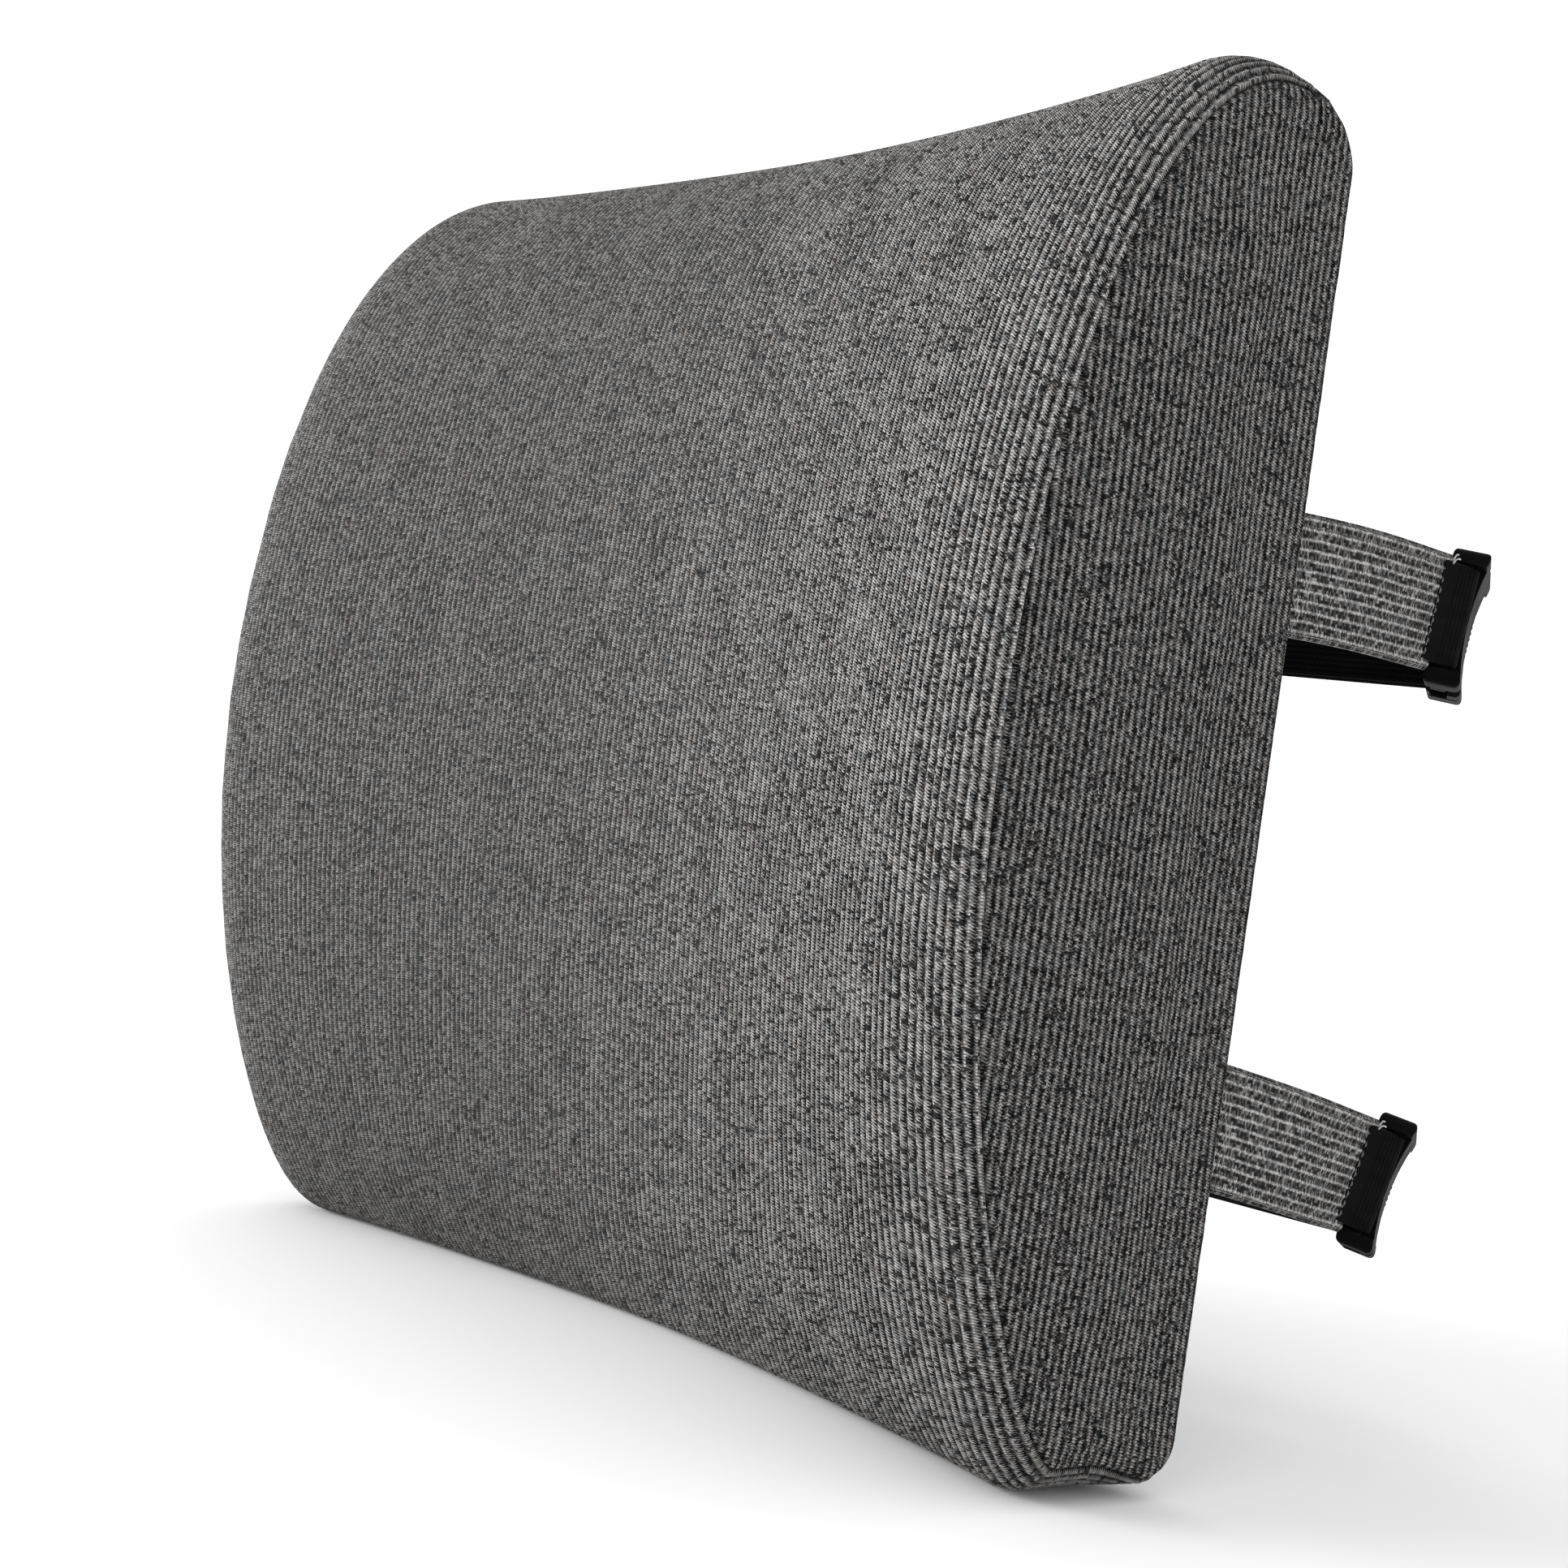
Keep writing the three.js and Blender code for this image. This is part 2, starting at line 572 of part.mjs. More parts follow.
// Places on that way, each with its heading and how far its top leans outwards.
function elasticLine(droop) {
  const { clipBar, centre, root, runHeading, runStart } = elasticRoute(droop);
  const line = [0, LAYERS_CLOSE].map((along) => ({
    point: clipBar.clone().addScaledVector(headingVector(BUCKLE_HEADING), along),
    heading: BUCKLE_HEADING,
    lean: BUCKLE_LEAN,
  }));
  const turnSteps = 9;
  for (let i = 0; i < turnSteps; i += 1) {
    const heading = THREE.MathUtils.lerp(BUCKLE_HEADING, runHeading, i / turnSteps);
    const point = centre.clone().addScaledVector(headingVector(heading - Math.PI / 2), TURN_RADIUS);
    line.push({ point, heading, lean: BUCKLE_LEAN });
  }
  const length = root.distanceTo(runStart);
  for (const along of [0, TAIL_END, UPRIGHT_START, 190, 220, 250, 280, length]) {
    const point = runStart.clone().addScaledVector(headingVector(runHeading), along);
    const upright = smoothStep((along - UPRIGHT_START) / (length - UPRIGHT_START));
    line.push({ point, heading: runHeading, lean: BUCKLE_LEAN * (1 - upright) });
  }
  return { line, tailCount: line.length - 6 };
}

// One strip: from its free tail, round the clip's bar, back beside the tail and on to the left end.
function elasticStations(droop) {
  const { line, tailCount } = elasticLine(droop);
  const barOffset = BAR_RADIUS + BAR_CLEARANCE + ELASTIC_THICKNESS / 2;
  const layer = (way) =>
    line.map(({ point, heading, lean }, i) => {
      const { up, face } = leaningFrame(heading, lean);
      const offset = i === 0 ? barOffset : LAYER_OFFSET;
      return { middle: inPlan(point).addScaledVector(face, way * offset), up };
    });
  const { up, face } = leaningFrame(BUCKLE_HEADING, BUCKLE_LEAN);
  const backwards = inPlan(headingVector(BUCKLE_HEADING)).negate();
  const wrapSteps = 10;
  const wrap = [];
  for (let i = 1; i < wrapSteps; i += 1) {
    const angle = (Math.PI * i) / wrapSteps;
    const middle = inPlan(line[0].point).addScaledVector(face, barOffset * Math.cos(angle));
    wrap.push({ middle: middle.addScaledVector(backwards, barOffset * Math.sin(angle)), up });
  }
  return [...layer(1).slice(0, tailCount).reverse(), ...wrap, ...layer(-1)];
}

// Turns an object towards a heading, then leans its top outwards.
function turnTo(object, heading, lean) {
  object.rotation.order = "ZYX";
  object.rotation.set(lean, 0, heading);
}

function makeStrap({ name, height, droop }) {
  const strap = new THREE.Group();
  strap.position.z = height;
  strap.rotation.x = -THREE.MathUtils.degToRad(droop);
  const band = strip(bandStations(droop), BAND_THICKNESS, BAND_WIDTH);
  const elastic = strip(elasticStations(droop), ELASTIC_THICKNESS, ELASTIC_WIDTH);
  strap.add(makeMesh(`${name}_knit_band`, band, "knitBand"));
  strap.add(makeMesh(`${name}_elastic_strap`, elastic, "webbing"));

  const buckle = new THREE.Group();
  buckle.position.set(BUCKLE_BAR.x, BUCKLE_BAR.y, 0);
  turnTo(buckle, BUCKLE_HEADING, BUCKLE_LEAN);
  const loop = makeMesh(`${name}_webbing_loop`, strip(loopStations(), LOOP_THICKNESS, LOOP_WIDTH), "webbing");
  loop.rotation.z = BAND_END_HEADING - BUCKLE_HEADING;
  buckle.add(loop);
  buckle.add(makeMesh(`${name}_buckle_socket`, buckleSocket(), "plastic"));
  buckle.add(makeMesh(`${name}_buckle_clip`, buckleClip(), "plastic"));
  buckle.add(makeMesh(`${name}_clip_arm_top`, clipArm(1), "plastic"));
  buckle.add(makeMesh(`${name}_clip_arm_bottom`, clipArm(-1), "plastic"));
  strap.add(buckle);

  const adjuster = makeMesh(`${name}_strap_adjuster`, strapAdjuster(), "plastic");
  const { runStart, runHeading } = elasticRoute(droop);
  const place = runStart.clone().addScaledVector(headingVector(runHeading), ADJUSTER_ALONG);
  adjuster.position.copy(inPlan(place));
  turnTo(adjuster, runHeading, BUCKLE_LEAN);
  strap.add(adjuster);
  return strap;
}

// The slider's two plates are joined by a neck that runs between the rows of teeth.
function zipSlider() {
  const half = SLIDER_LENGTH / 2;
  const plate = [-SLIDER_PLATE_HALF_HEIGHT, SLIDER_PLATE_HALF_HEIGHT];
  const neckHeight = [-SLIDER_NECK_HALF_HEIGHT, SLIDER_NECK_HALF_HEIGHT];
  const outerPlate = extrudeAcross(roundedRectangle([-half, half], plate, 2.5, 1), ...SLIDER_OUTER_PLATE);
  const innerPlate = box(plate, SLIDER_INNER_PLATE, plate);
  const neck = box([-2, 3.5], [SLIDER_INNER_PLATE[1] - 0.4, SLIDER_OUTER_PLATE[0] + 0.6], neckHeight);
  const bail = box(
    [-BAIL.halfLength, BAIL.halfLength],
    [BAIL.foot, BAIL.top],
    [-BAIL.halfHeight, BAIL.halfHeight],
  );
  const opening = box(
    [-BAIL_OPENING.halfLength, BAIL_OPENING.halfLength],
    [BAIL_OPENING.foot, BAIL_OPENING.top],
    plate,
  );
  return toGeometry(cut(join(toSolid(outerPlate), innerPlate, neck, bail), opening));
}

// The pull tab hooks through the slider's bail with a thin pin.
function zipPullTab() {
  const thickness = [-PULL_HALF_THICKNESS, PULL_HALF_THICKNESS];
  const heights = [-PULL_HALF_HEIGHT, PULL_HALF_HEIGHT];
  const plan = roundedRectangle([-PULL_LENGTH, PULL_HALF_THICKNESS + 0.15], heights, 2.5, 0.3);
  const tab = toSolid(extrudeAcross(plan, ...thickness));
  const eyeHeights = [-PULL_EYE.halfHeight, PULL_EYE.halfHeight];
  const eye = box([PULL_EYE.start, 2], [-2, 2], eyeHeights);
  const hole = new THREE.CylinderGeometry(PULL_HOLE.radius, PULL_HOLE.radius, 4, 16);
  hole.translate(PULL_HOLE.along, 0, 0);
  const pin = box(thickness, thickness, [-PULL_EYE.halfHeight - 1, PULL_EYE.halfHeight + 1]);
  return toGeometry(join(cut(tab, eye, hole), pin));
}

function makeZip() {
  const zip = new THREE.Group();
  zip.position.z = ZIP_HEIGHT;
  const tapeReach = WIDTH / 2 - SEAM_FROM_END;
  for (const [name, side] of [["upper", 1], ["lower", -1]]) {
    const tape = [side * TEETH_PARTING, side * (TEETH_PARTING + TAPE_WIDTH)].sort((a, b) => a - b);
    const teeth = [side * TEETH_PARTING, side * (TEETH_PARTING + TEETH_WIDTH)].sort((a, b) => a - b);
    zip.add(makeMesh(`zip_tape_${name}`, box([-tapeReach, tapeReach], TAPE_DEPTHS, tape), "zipTape"));
    zip.add(makeMesh(`zip_teeth_${name}`, box([-ZIP_REACH, ZIP_REACH], TEETH_DEPTHS, teeth), "plastic"));
  }
  for (const [name, side] of [["left", -1], ["right", 1]]) {
    const length = [-STOP_HALF_LENGTH, STOP_HALF_LENGTH];
    const heights = [-STOP_HALF_HEIGHT, STOP_HALF_HEIGHT];
    const stop = makeMesh(`zip_stop_${name}`, box(length, TEETH_DEPTHS, heights), "metal");
    stop.position.x = side * (ZIP_REACH + STOP_HALF_LENGTH + GAP);
    zip.add(stop);
  }
  const slider = makeMesh("zip_slider", zipSlider(), "metal");
  slider.position.x = ZIP_START;
  const pull = makeMesh("zip_pull_tab", zipPullTab(), "metal");
  pull.position.set(ZIP_START, PULL_AXIS_DEPTH, 0);
  zip.add(slider, pull);
  return zip;
}

function backPanel(heights) {
  const reach = WIDTH / 2 - SEAM_FROM_END;
  return box([-reach, reach], [-BACK_PANEL_THICKNESS, 0], heights);
}

const model = new THREE.Group();
model.position.y = FOOT_SETBACK;
const zipEdge = TEETH_PARTING + TAPE_WIDTH + GAP;
const panelStart = EDGE_RADIUS + GAP;
const panelEnd = HEIGHT - TOP_CORNER_HEIGHT - GAP;
model.add(makeMesh("foam_core", foamCore(), "foam"));
model.add(makeMesh("cover_front_panel", frontPanel(), "knit"));
model.add(makeMesh("cover_side_left", sidePanel(-1), "knitSide"));
model.add(makeMesh("cover_side_right", sidePanel(1), "knitSide"));
model.add(makeMesh("cover_back_upper", backPanel([ZIP_HEIGHT + zipEdge, panelEnd]), "knitSide"));
model.add(makeMesh("cover_back_lower", backPanel([panelStart, ZIP_HEIGHT - zipEdge]), "knitSide"));
model.add(makeZip());
for (const strap of STRAPS) {
  model.add(makeStrap(strap));
}

export default model;
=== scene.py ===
"""Lumbar support cushion: a ribbed knit cover over a foam core, a zip across the back, and two buckled
straps. Lengths in this file are millimetres in the cushion's own frame, whose back plane is y = 0, until
place() turns them into the row frame's metres."""
import math

import bmesh
import bpy
import numpy as np
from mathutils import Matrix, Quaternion, Vector
from mathutils.kdtree import KDTree


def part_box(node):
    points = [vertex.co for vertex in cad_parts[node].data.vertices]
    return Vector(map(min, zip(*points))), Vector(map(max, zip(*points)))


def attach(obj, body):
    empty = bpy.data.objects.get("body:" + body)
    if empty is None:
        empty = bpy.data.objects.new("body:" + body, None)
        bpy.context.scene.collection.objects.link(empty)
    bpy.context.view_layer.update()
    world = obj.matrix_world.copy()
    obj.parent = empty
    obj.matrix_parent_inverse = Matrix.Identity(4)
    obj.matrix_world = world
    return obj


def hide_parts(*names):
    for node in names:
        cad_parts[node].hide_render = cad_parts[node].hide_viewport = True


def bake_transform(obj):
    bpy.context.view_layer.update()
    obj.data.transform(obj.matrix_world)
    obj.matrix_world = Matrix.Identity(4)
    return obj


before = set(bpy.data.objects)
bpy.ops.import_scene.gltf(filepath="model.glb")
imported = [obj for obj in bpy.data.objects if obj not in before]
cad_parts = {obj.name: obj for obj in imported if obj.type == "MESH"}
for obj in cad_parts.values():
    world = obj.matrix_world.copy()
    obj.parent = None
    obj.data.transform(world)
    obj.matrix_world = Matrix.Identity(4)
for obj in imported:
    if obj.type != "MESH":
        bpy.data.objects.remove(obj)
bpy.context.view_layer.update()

MM = 0.001

# The cushion's form, as the CAD part has it
HALF_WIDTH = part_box("cover_side_right")[1].x / MM
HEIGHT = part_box("cover_front_panel")[1].z / MM
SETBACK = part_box("cover_back_upper")[1].y / MM
WING_DEPTH = 98.0
WAIST_DEPTH = 50.0
DISH_POWER = 1.48
DISH_EASE = 0.16
EDGE_RADIUS = 13.0
CROWN_HEIGHT = 160.0
FOOT_SHARE = 0.42
TOP_SHARE = 0.21
UNDER, LOW, HIGH, OVER = 0.33, 0.54, 0.66, 0.5
END_RADIUS = 24.0
ROUND_START = 140.0
TOP_CORNER_HEIGHT = 24.0
BACK_ROUND = 3.0  # the radius where a side panel turns onto the back
SEAM_X = HALF_WIDTH - 1.6
SEAM_TAPER = 38.0  # the ends' rounding fades out over this length beside the back edges
SEAM_ANGLE = math.asin((SEAM_X - ROUND_START) / END_RADIUS)
ACROSS_END = ROUND_START + END_RADIUS * SEAM_ANGLE  # half the front panel's width, along the cloth

LONGEST_SEAM = 1400.0

# The side panels
FROM_SEAM = [0, 0.3, 0.7, 1.2, 1.8, 2.6, 3.6, 5.0, 7.0, 9.5]  # rows of points beside the seam
SPINE_HEIGHTS = [30, 60, 100, 160, 230, 270, 300]
SPINE_DEPTHS = [-30, -40, -46, -49, -43, -32, -19]  # the middle of the panel at those heights
SPINE_FOOT, SPINE_TOP = 34, 292
SIDE_GAP = 0.1  # between the front panel's edge and the side panel's
BACK_INSET = 0.88  # how far the back edge stands in from the section
SIDE_ROUND = 8.0  # the panel curves to its flat over this much
SIDE_SPACING = 2.2

# The cover's swelling over the foam
CLOTH = {
    "quality": 4,
    "mass": 0.35,
    "tension_stiffness": 12,
    "compression_stiffness": 12,
    "shear_stiffness": 4,
    "bending_stiffness": 0.6,
    "use_pressure": True,
    "uniform_pressure_force": 4,
}
CLOTH_FRAMES = 20
CLOTH_VOXEL = 6.0
PUFF_START = 2.0  # the swelling form starts this far inside the cover
PUFF_CAP = 3.6  # no point of it moves further
PUFF_MEAN = 0.6  # how far the cover stands off its CAD shape in the middle
PUFF_SHARE = 0.6  # how much of the swelling's unevenness the cover takes up
PUFF_LOWEST, PUFF_HIGHEST = -1.1, 1.0
PUFF_NEIGHBOURS, PUFF_REACH = 8, 7.0
FOAM_INSET = 3.4

# The knit
FRONT_WALE = 2.2  # from one rib to the next, where the knit is not stretched
STRETCH_AT = (-150, -60, -20, 10, 60, 105, 125, 140, 150)
RIB_PITCH = (1.68, 1.68, 1.85, 2.3, 2.4, 2.4, 2.9, 3.3, 3.0)
SIDE_WALE = 2.42
BAND_WALE = 2.35
RIB_STEPS = 5
RIB_RELIEF = 0.26

# The zip
ZIP_HEIGHT = 36.0
ZIP_OPENING = 6.3  # from the zip's middle to the CAD back panels
FOLD_OVERHANG = 1.8  # each back panel's folded edge covers the tape by this much
STITCH_SETBACK = 1.4
TOOTH_PITCH = 1.7
TEETH_END = 149.4  # from the middle of the zip to its last tooth
STITCHED_END = 154.0

# The straps: each one's height on the back, and its droop in degrees
STRAPS = {"upper": (210.5, -1.5), "lower": (83.5, 10.0)}
ROOT_X = 157.5
ROOT_GAP = 2.7
BAND_WIDTH = 29.0
BAND_THICKNESS = 2.6
STRAP_WIDTH = 25.0
LOOP_THICKNESS = 1.4
LOOP_PITCH = 1.15  # from one cross rib of the webbing to the next
ELASTIC_THICKNESS = 1.5
ELASTIC_PITCH = 1.6
BAR = np.array([160.0, 64.5])  # the socket's bar, from above
BAR_SIZE = 2.1  # from a bar's middle to the strap round it
BAND_HEADING = math.radians(92)
BUCKLE_HEADING = math.radians(120.5)
BUCKLE_LEAN = math.radians(7)
CLIP_BAR = 50.5  # from the socket's bar to the clip's
LEAD_OUT = 4.0  # straight elastic after the clip
LAYERS_CLOSE = 3.0  # the elastic's two layers close up over this length
LAYER_OFFSET = 1.85  # from the line between the two layers to the middle of each
TURN_RADIUS = 8.0
TAIL_END = 150.0
UPRIGHT_START = 160.0  # from here on the elastic stands up straight again towards its left end
BEND_START, BEND_END = 151, 275  # where the elastic's run gives way when the clip is pulled out; the script only works out these two points
VERTICAL = np.array([0.0, 0.0, 1.0])


# ---------------- mesh helpers

def place(points):
    """Cushion-frame millimetres to row-frame metres."""
    moved = np.asarray(points, float) * MM
    moved[..., 1] += SETBACK * MM
    return moved


def add_to_scene(name, data):
    obj = bpy.data.objects.new(name, data)
    bpy.context.scene.collection.objects.link(obj)
    return obj


def make_object(name, points, faces, material, weave=None):
    """points are in cushion-frame millimetres; weave is each point's (across, along, edge) in millimetres."""
    mesh = bpy.data.meshes.new(name)
    mesh.from_pydata(place(points).reshape(-1, 3).tolist(), [], [list(map(int, f)) for f in faces])
    if weave is not None:
        layer = mesh.attributes.new("weave", "FLOAT_VECTOR", "POINT")
        layer.data.foreach_set("vector", np.asarray(weave, np.float32).ravel())
    mesh.shade_smooth()
    mesh.materials.append(material)
    mesh.update()
    return add_to_scene(name, mesh)


def stand_for(obj, node):
    """Hides the CAD node that a piece takes the place of."""
    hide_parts(node)
    return obj


def grid_faces(rows, columns, wrap=False):
    """Quads of a rows x columns grid of points; wrap joins the last column to the first."""
    r = np.arange(rows - 1)[:, None]
    c = np.arange(columns if wrap else columns - 1)[None, :]
    n = (c + 1) % columns
    quads = np.stack([r * columns + c, r * columns + n, (r + 1) * columns + n, (r + 1) * columns + c], -1)
    return quads.reshape(-1, 4)


def closed_faces(rows, columns):
    """Faces of a tube of rows x columns points, with both ends closed."""
    first = list(range(columns))
    last = [(rows - 1) * columns + i for i in first]
    return grid_faces(rows, columns, wrap=True).tolist() + [first[::-1], last]


def smooth_step(t):
    t = np.clip(t, 0, 1)
    return t * t * (3 - 2 * t)


def unit(vectors):
    return vectors / np.linalg.norm(vectors, axis=-1, keepdims=True)


def circle(count):
    """Angles spaced evenly round a circle."""
    return np.linspace(0, 2 * math.pi, count + 1)[:-1]


def grid_normals(points):
    """Unit normals of a grid of points, rows x columns x 3."""
    down = np.gradient(points, axis=0)
    across = np.gradient(points, axis=1)
    normal = np.cross(across, down)
    return normal / np.maximum(np.linalg.norm(normal, axis=-1, keepdims=True), 1e-9)


def wander(length, spacing, seed):
    """A smooth random function of distance, about -1 to 1."""
    knots = np.random.default_rng(seed).uniform(-1, 1, int(length / spacing) + 4)

    def value(distance):
        at = np.clip(np.asarray(distance, float) / spacing, 0, len(knots) - 2.001)
        i = at.astype(int)
        t = smooth_step(at - i)
        return knots[i] * (1 - t) + knots[i + 1] * t

    return value


# ---------------- materials

class Shader:
    """A small builder of node materials."""

    def __init__(self, name):
        self.material = bpy.data.materials.new(name)
        self.material.use_nodes = True
        self.tree = self.material.node_tree
        self.tree.nodes.clear()
        self.surface = self.node("BsdfPrincipled")
        self.node("OutputMaterial", {"Surface": self.surface.outputs[0]})

    def put(self, socket, value):
        if isinstance(value, bpy.types.NodeSocket):
            self.tree.links.new(value, socket)
        elif value is not None:
            socket.default_value = value

    def node(self, kind, inputs=(), **settings):
        """Adds a node; inputs holds a value or another node's output for each input."""
        node = self.tree.nodes.new(f"ShaderNode{kind}")
        for name, value in settings.items():
            setattr(node, name, value)
        for key, value in dict(inputs).items():
            self.put(node.inputs[key], value)
        return node

    def set(self, **values):
        for name, value in values.items():
            self.put(self.surface.inputs[name.replace("_", " ")], value)

    def math(self, operation, *values, clamp=False):
        return self.node("Math", enumerate(values), operation=operation, use_clamp=clamp).outputs[0]

    def plus(self, a, b, clamp=False):
        return self.math("ADD", a, b, clamp=clamp)

    def minus(self, a, b):
        return self.math("SUBTRACT", a, b)

    def times(self, a, b):
        return self.math("MULTIPLY", a, b)

    def vector(self, x, y, z=0.0):
        return self.node("CombineXYZ", enumerate((x, y, z))).outputs[0]

    def split(self, vector):
        return tuple(self.node("SeparateXYZ", {0: vector}).outputs)

    def weave(self):
        """The mesh's own across, along and edge, in millimetres."""
        return self.split(self.node("Attribute", attribute_name="weave").outputs["Vector"])

    def position(self):
        return self.node("TexCoord").outputs["Object"]

    def noise(self, vector, scale=1.0, detail=2.0, roughness=0.5):
        inputs = {"Vector": vector, "Scale": scale, "Detail": detail, "Roughness": roughness}
        return self.node("TexNoise", inputs).outputs["Fac"]

    def patches(self, across, along, place_at, detail=2.0, roughness=0.5):
        """Noise over the cloth; place_at is its scale across, its scale along, and its slice."""
        at = self.vector(self.times(across, place_at[0]), self.times(along, place_at[1]), place_at[2])
        return self.noise(at, 1.0, detail, roughness)

    def white(self, x, y):
        """A random number from 0 to 1 for each pair of whole numbers."""
        inputs = {"Vector": self.vector(x, y)}
        return self.node("TexWhiteNoise", inputs, noise_dimensions="2D").outputs["Value"]

    def ramp(self, value, low, high, to_low=0.0, to_high=1.0, curve="SMOOTHSTEP"):
        inputs = {"Value": value, "From Min": low, "From Max": high, "To Min": to_low, "To Max": to_high}
        return self.node("MapRange", inputs, interpolation_type=curve).outputs[0]

    def mix(self, share, a, b):
        """Between two colours, each of them a tuple or a node's output."""
        a, b = ((*colour, 1.0) if isinstance(colour, tuple) else colour for colour in (a, b))
        return self.node("Mix", {"Factor": share, 6: a, 7: b}, data_type="RGBA").outputs[2]

    def bump(self, height, distance=MM, normal=None):
        """height is in units of distance metres."""
        inputs = {"Height": height, "Distance": distance, "Strength": 1.0, "Normal": normal}
        return self.node("Bump", inputs).outputs[0]


LIGHT_YARN = (0.46, 0.447, 0.435)
PALE_YARN = (0.76, 0.745, 0.73)
WARM_YARN = (0.215, 0.197, 0.184)
COOL_YARN = (0.178, 0.182, 0.185)
DARK_YARN = (0.0045, 0.0042, 0.0045)
# painted shade: the near-black colour laid into the seams' grooves, darker than any yarn
SEAM_SHADE_COLOUR = tuple(0.4 * c for c in DARK_YARN)
MIDDLE_TONE = 0.27


def knit_material(
    name, wale, course, rib_width, rib_bump=0.0, whole=0.0, purl_light=0.42, light=LIGHT_YARN, even=None
):
    """Rib knit in melange yarn. Each rib is a chain of slanting stitches with dark purl between, and single
    stitches and short runs of them are black. Where whole is 1 the ribs are unbroken light lines. even is a
    stretch across the ribs, over which the melange goes from even to lively."""
    s = Shader(name)
    across, along, edge = s.weave()
    drift = s.patches(across, along, (0.06, 0.05, 4.0))
    count = s.plus(s.math("DIVIDE", across, wale), s.times(s.minus(drift, 0.5), 0.3))
    cell = s.math("FLOOR", count)
    local = s.minus(s.minus(count, cell), 0.5)
    row = s.plus(s.math("DIVIDE", along, course), s.white(cell, 3.0))
    step = s.math("FLOOR", row)
    # the rib's edge zigzags, once for each stitch
    zigzag = s.minus(s.times(s.math("PINGPONG", row, 0.5), 4.0), 1.0)
    off_centre = s.math("ABSOLUTE", s.plus(local, s.times(zigzag, 0.13 * (1 - whole))))
    ridge = s.ramp(off_centre, rib_width - 0.08, rib_width + 0.08, 1.0, 0.0)
    # the two legs of each stitch slant towards the rib's middle
    leg = s.math("PINGPONG", s.plus(row, s.times(s.math("ABSOLUTE", local), 1.6)), 0.5)
    thread = s.ramp(leg, 0.09, 0.36)
    # black stitches: single ones anywhere, and runs of them where the yarn is dark
    streak = s.patches(cell, along, (5.37, 0.23, 0.0), 2.0, 0.6)
    cloud = s.patches(across, along, (0.05, 0.022, 2.0), 3.0, 0.6)
    chance = s.plus(s.ramp(streak, 0.45, 0.68, 0.08, 0.40), s.ramp(cloud, 0.35, 0.65, -0.05, 0.05))
    half = s.math("FLOOR", s.times(count, 2.0))
    black = s.math("LESS_THAN", s.white(half, step), chance)
    fuzz = s.noise(s.vector(across, along, 6.0), 3.4, 3.0, 0.7)
    tone = s.patches(across, along, (0.3, 0.14, 14.0), 3.0, 0.65)
    yarn = s.mix(s.ramp(tone, 0.42, 0.58), WARM_YARN, COOL_YARN)
    yarn = s.mix(s.ramp(s.white(step, half), 0.2, 0.95, 0.08, 1.0), yarn, light)
    bright = s.times(ridge, s.ramp(thread, 0.0, 1.0, 0.35 + 0.3 * whole, 1.0, "LINEAR"))
    bright = s.times(bright, s.ramp(fuzz, 0.3, 0.7, 0.75, 1.1))
    bright = s.times(bright, s.minus(1.0, s.times(black, 0.9 * (1 - whole))))
    purl_stitch = s.ramp(s.white(s.plus(half, 0.5), step), 0.3, 1.0, 0.06 * whole, purl_light)
    purl = s.times(s.minus(1.0, ridge), s.times(thread, purl_stitch))
    bright = s.plus(bright, purl, clamp=True)
    if even:
        contrast = s.ramp(across, even[0], even[1], 0.58, 1.0)
        bright = s.math("MULTIPLY_ADD", s.minus(bright, MIDDLE_TONE), contrast, MIDDLE_TONE)
    colour = s.mix(bright, DARK_YARN, yarn)
    # painted shade: within 0.8 mm of a seam the knit is darkened to near black, standing in for the shade in
    # the seam's groove
    sewn = s.ramp(edge, 0.0, 0.8, 0.15, 1.0)
    colour = s.mix(sewn, SEAM_SHADE_COLOUR, colour)
    relief = s.times(s.math("COSINE", s.times(local, 2 * math.pi)), rib_bump)
    stitch = s.times(s.times(thread, s.ramp(ridge, 0.0, 1.0, 0.4, 1.0)), 0.2)
    height = s.plus(s.plus(relief, stitch), s.times(fuzz, 0.12))
    s.set(
        Base_Color=colour,
        Roughness=s.ramp(fuzz, 0.2, 0.8, 0.86, 1.0),
        Sheen_Weight=0.02,
        Sheen_Roughness=0.5,
        Specular_IOR_Level=0.02,
        Normal=s.bump(height),
    )
    return s.material


def webbing_material(name, pitch_across, pitch_along, dark, light, between=0.0):
    """Close woven polyester: fine ribs one way and picks the other. between is how light it stays between
    ribs."""
    s = Shader(name)
    across, along, _ = s.weave()
    picks = s.math("PINGPONG", s.math("DIVIDE", along, pitch_along), 0.5)
    shifted = s.plus(s.math("DIVIDE", across, pitch_across), s.times(picks, 0.35))
    ribs = s.math("PINGPONG", shifted, 0.5)
    fuzz = s.noise(s.vector(across, along, 3.0), 3.1, 3.0, 0.7)
    picked = s.ramp(picks, 0.02, 0.34, 0.55 * (1 - between), 1.0)
    weave = s.times(s.ramp(ribs, 0.03, 0.36, between, 1.0), picked)
    worn = s.noise(s.vector(across, s.times(along, 0.2), 8.0), 0.25, 3.0)
    shade = s.times(weave, s.ramp(s.plus(fuzz, worn), 0.7, 1.35, 0.25, 1.0))
    s.set(
        Base_Color=s.mix(shade, dark, light),
        Roughness=s.ramp(fuzz, 0.2, 0.8, 0.62, 0.85),
        Sheen_Weight=0.006,
        Sheen_Roughness=0.35,
        Specular_IOR_Level=0.03,
        Normal=s.bump(s.plus(s.times(weave, 0.22), s.times(fuzz, 0.06))),
    )
    return s.material


def edge_wear(s, radius):
    """A normal rounded at the edges, and 1 along sharp edges and 0 on flat faces."""
    rounded = s.node("Bevel", {"Radius": radius}, samples=6).outputs[0]
    flat = s.node("NewGeometry").outputs["Normal"]
    dot = s.node("VectorMath", {0: rounded, 1: flat}, operation="DOT_PRODUCT").outputs["Value"]
    return rounded, s.ramp(dot, 0.99, 0.80)


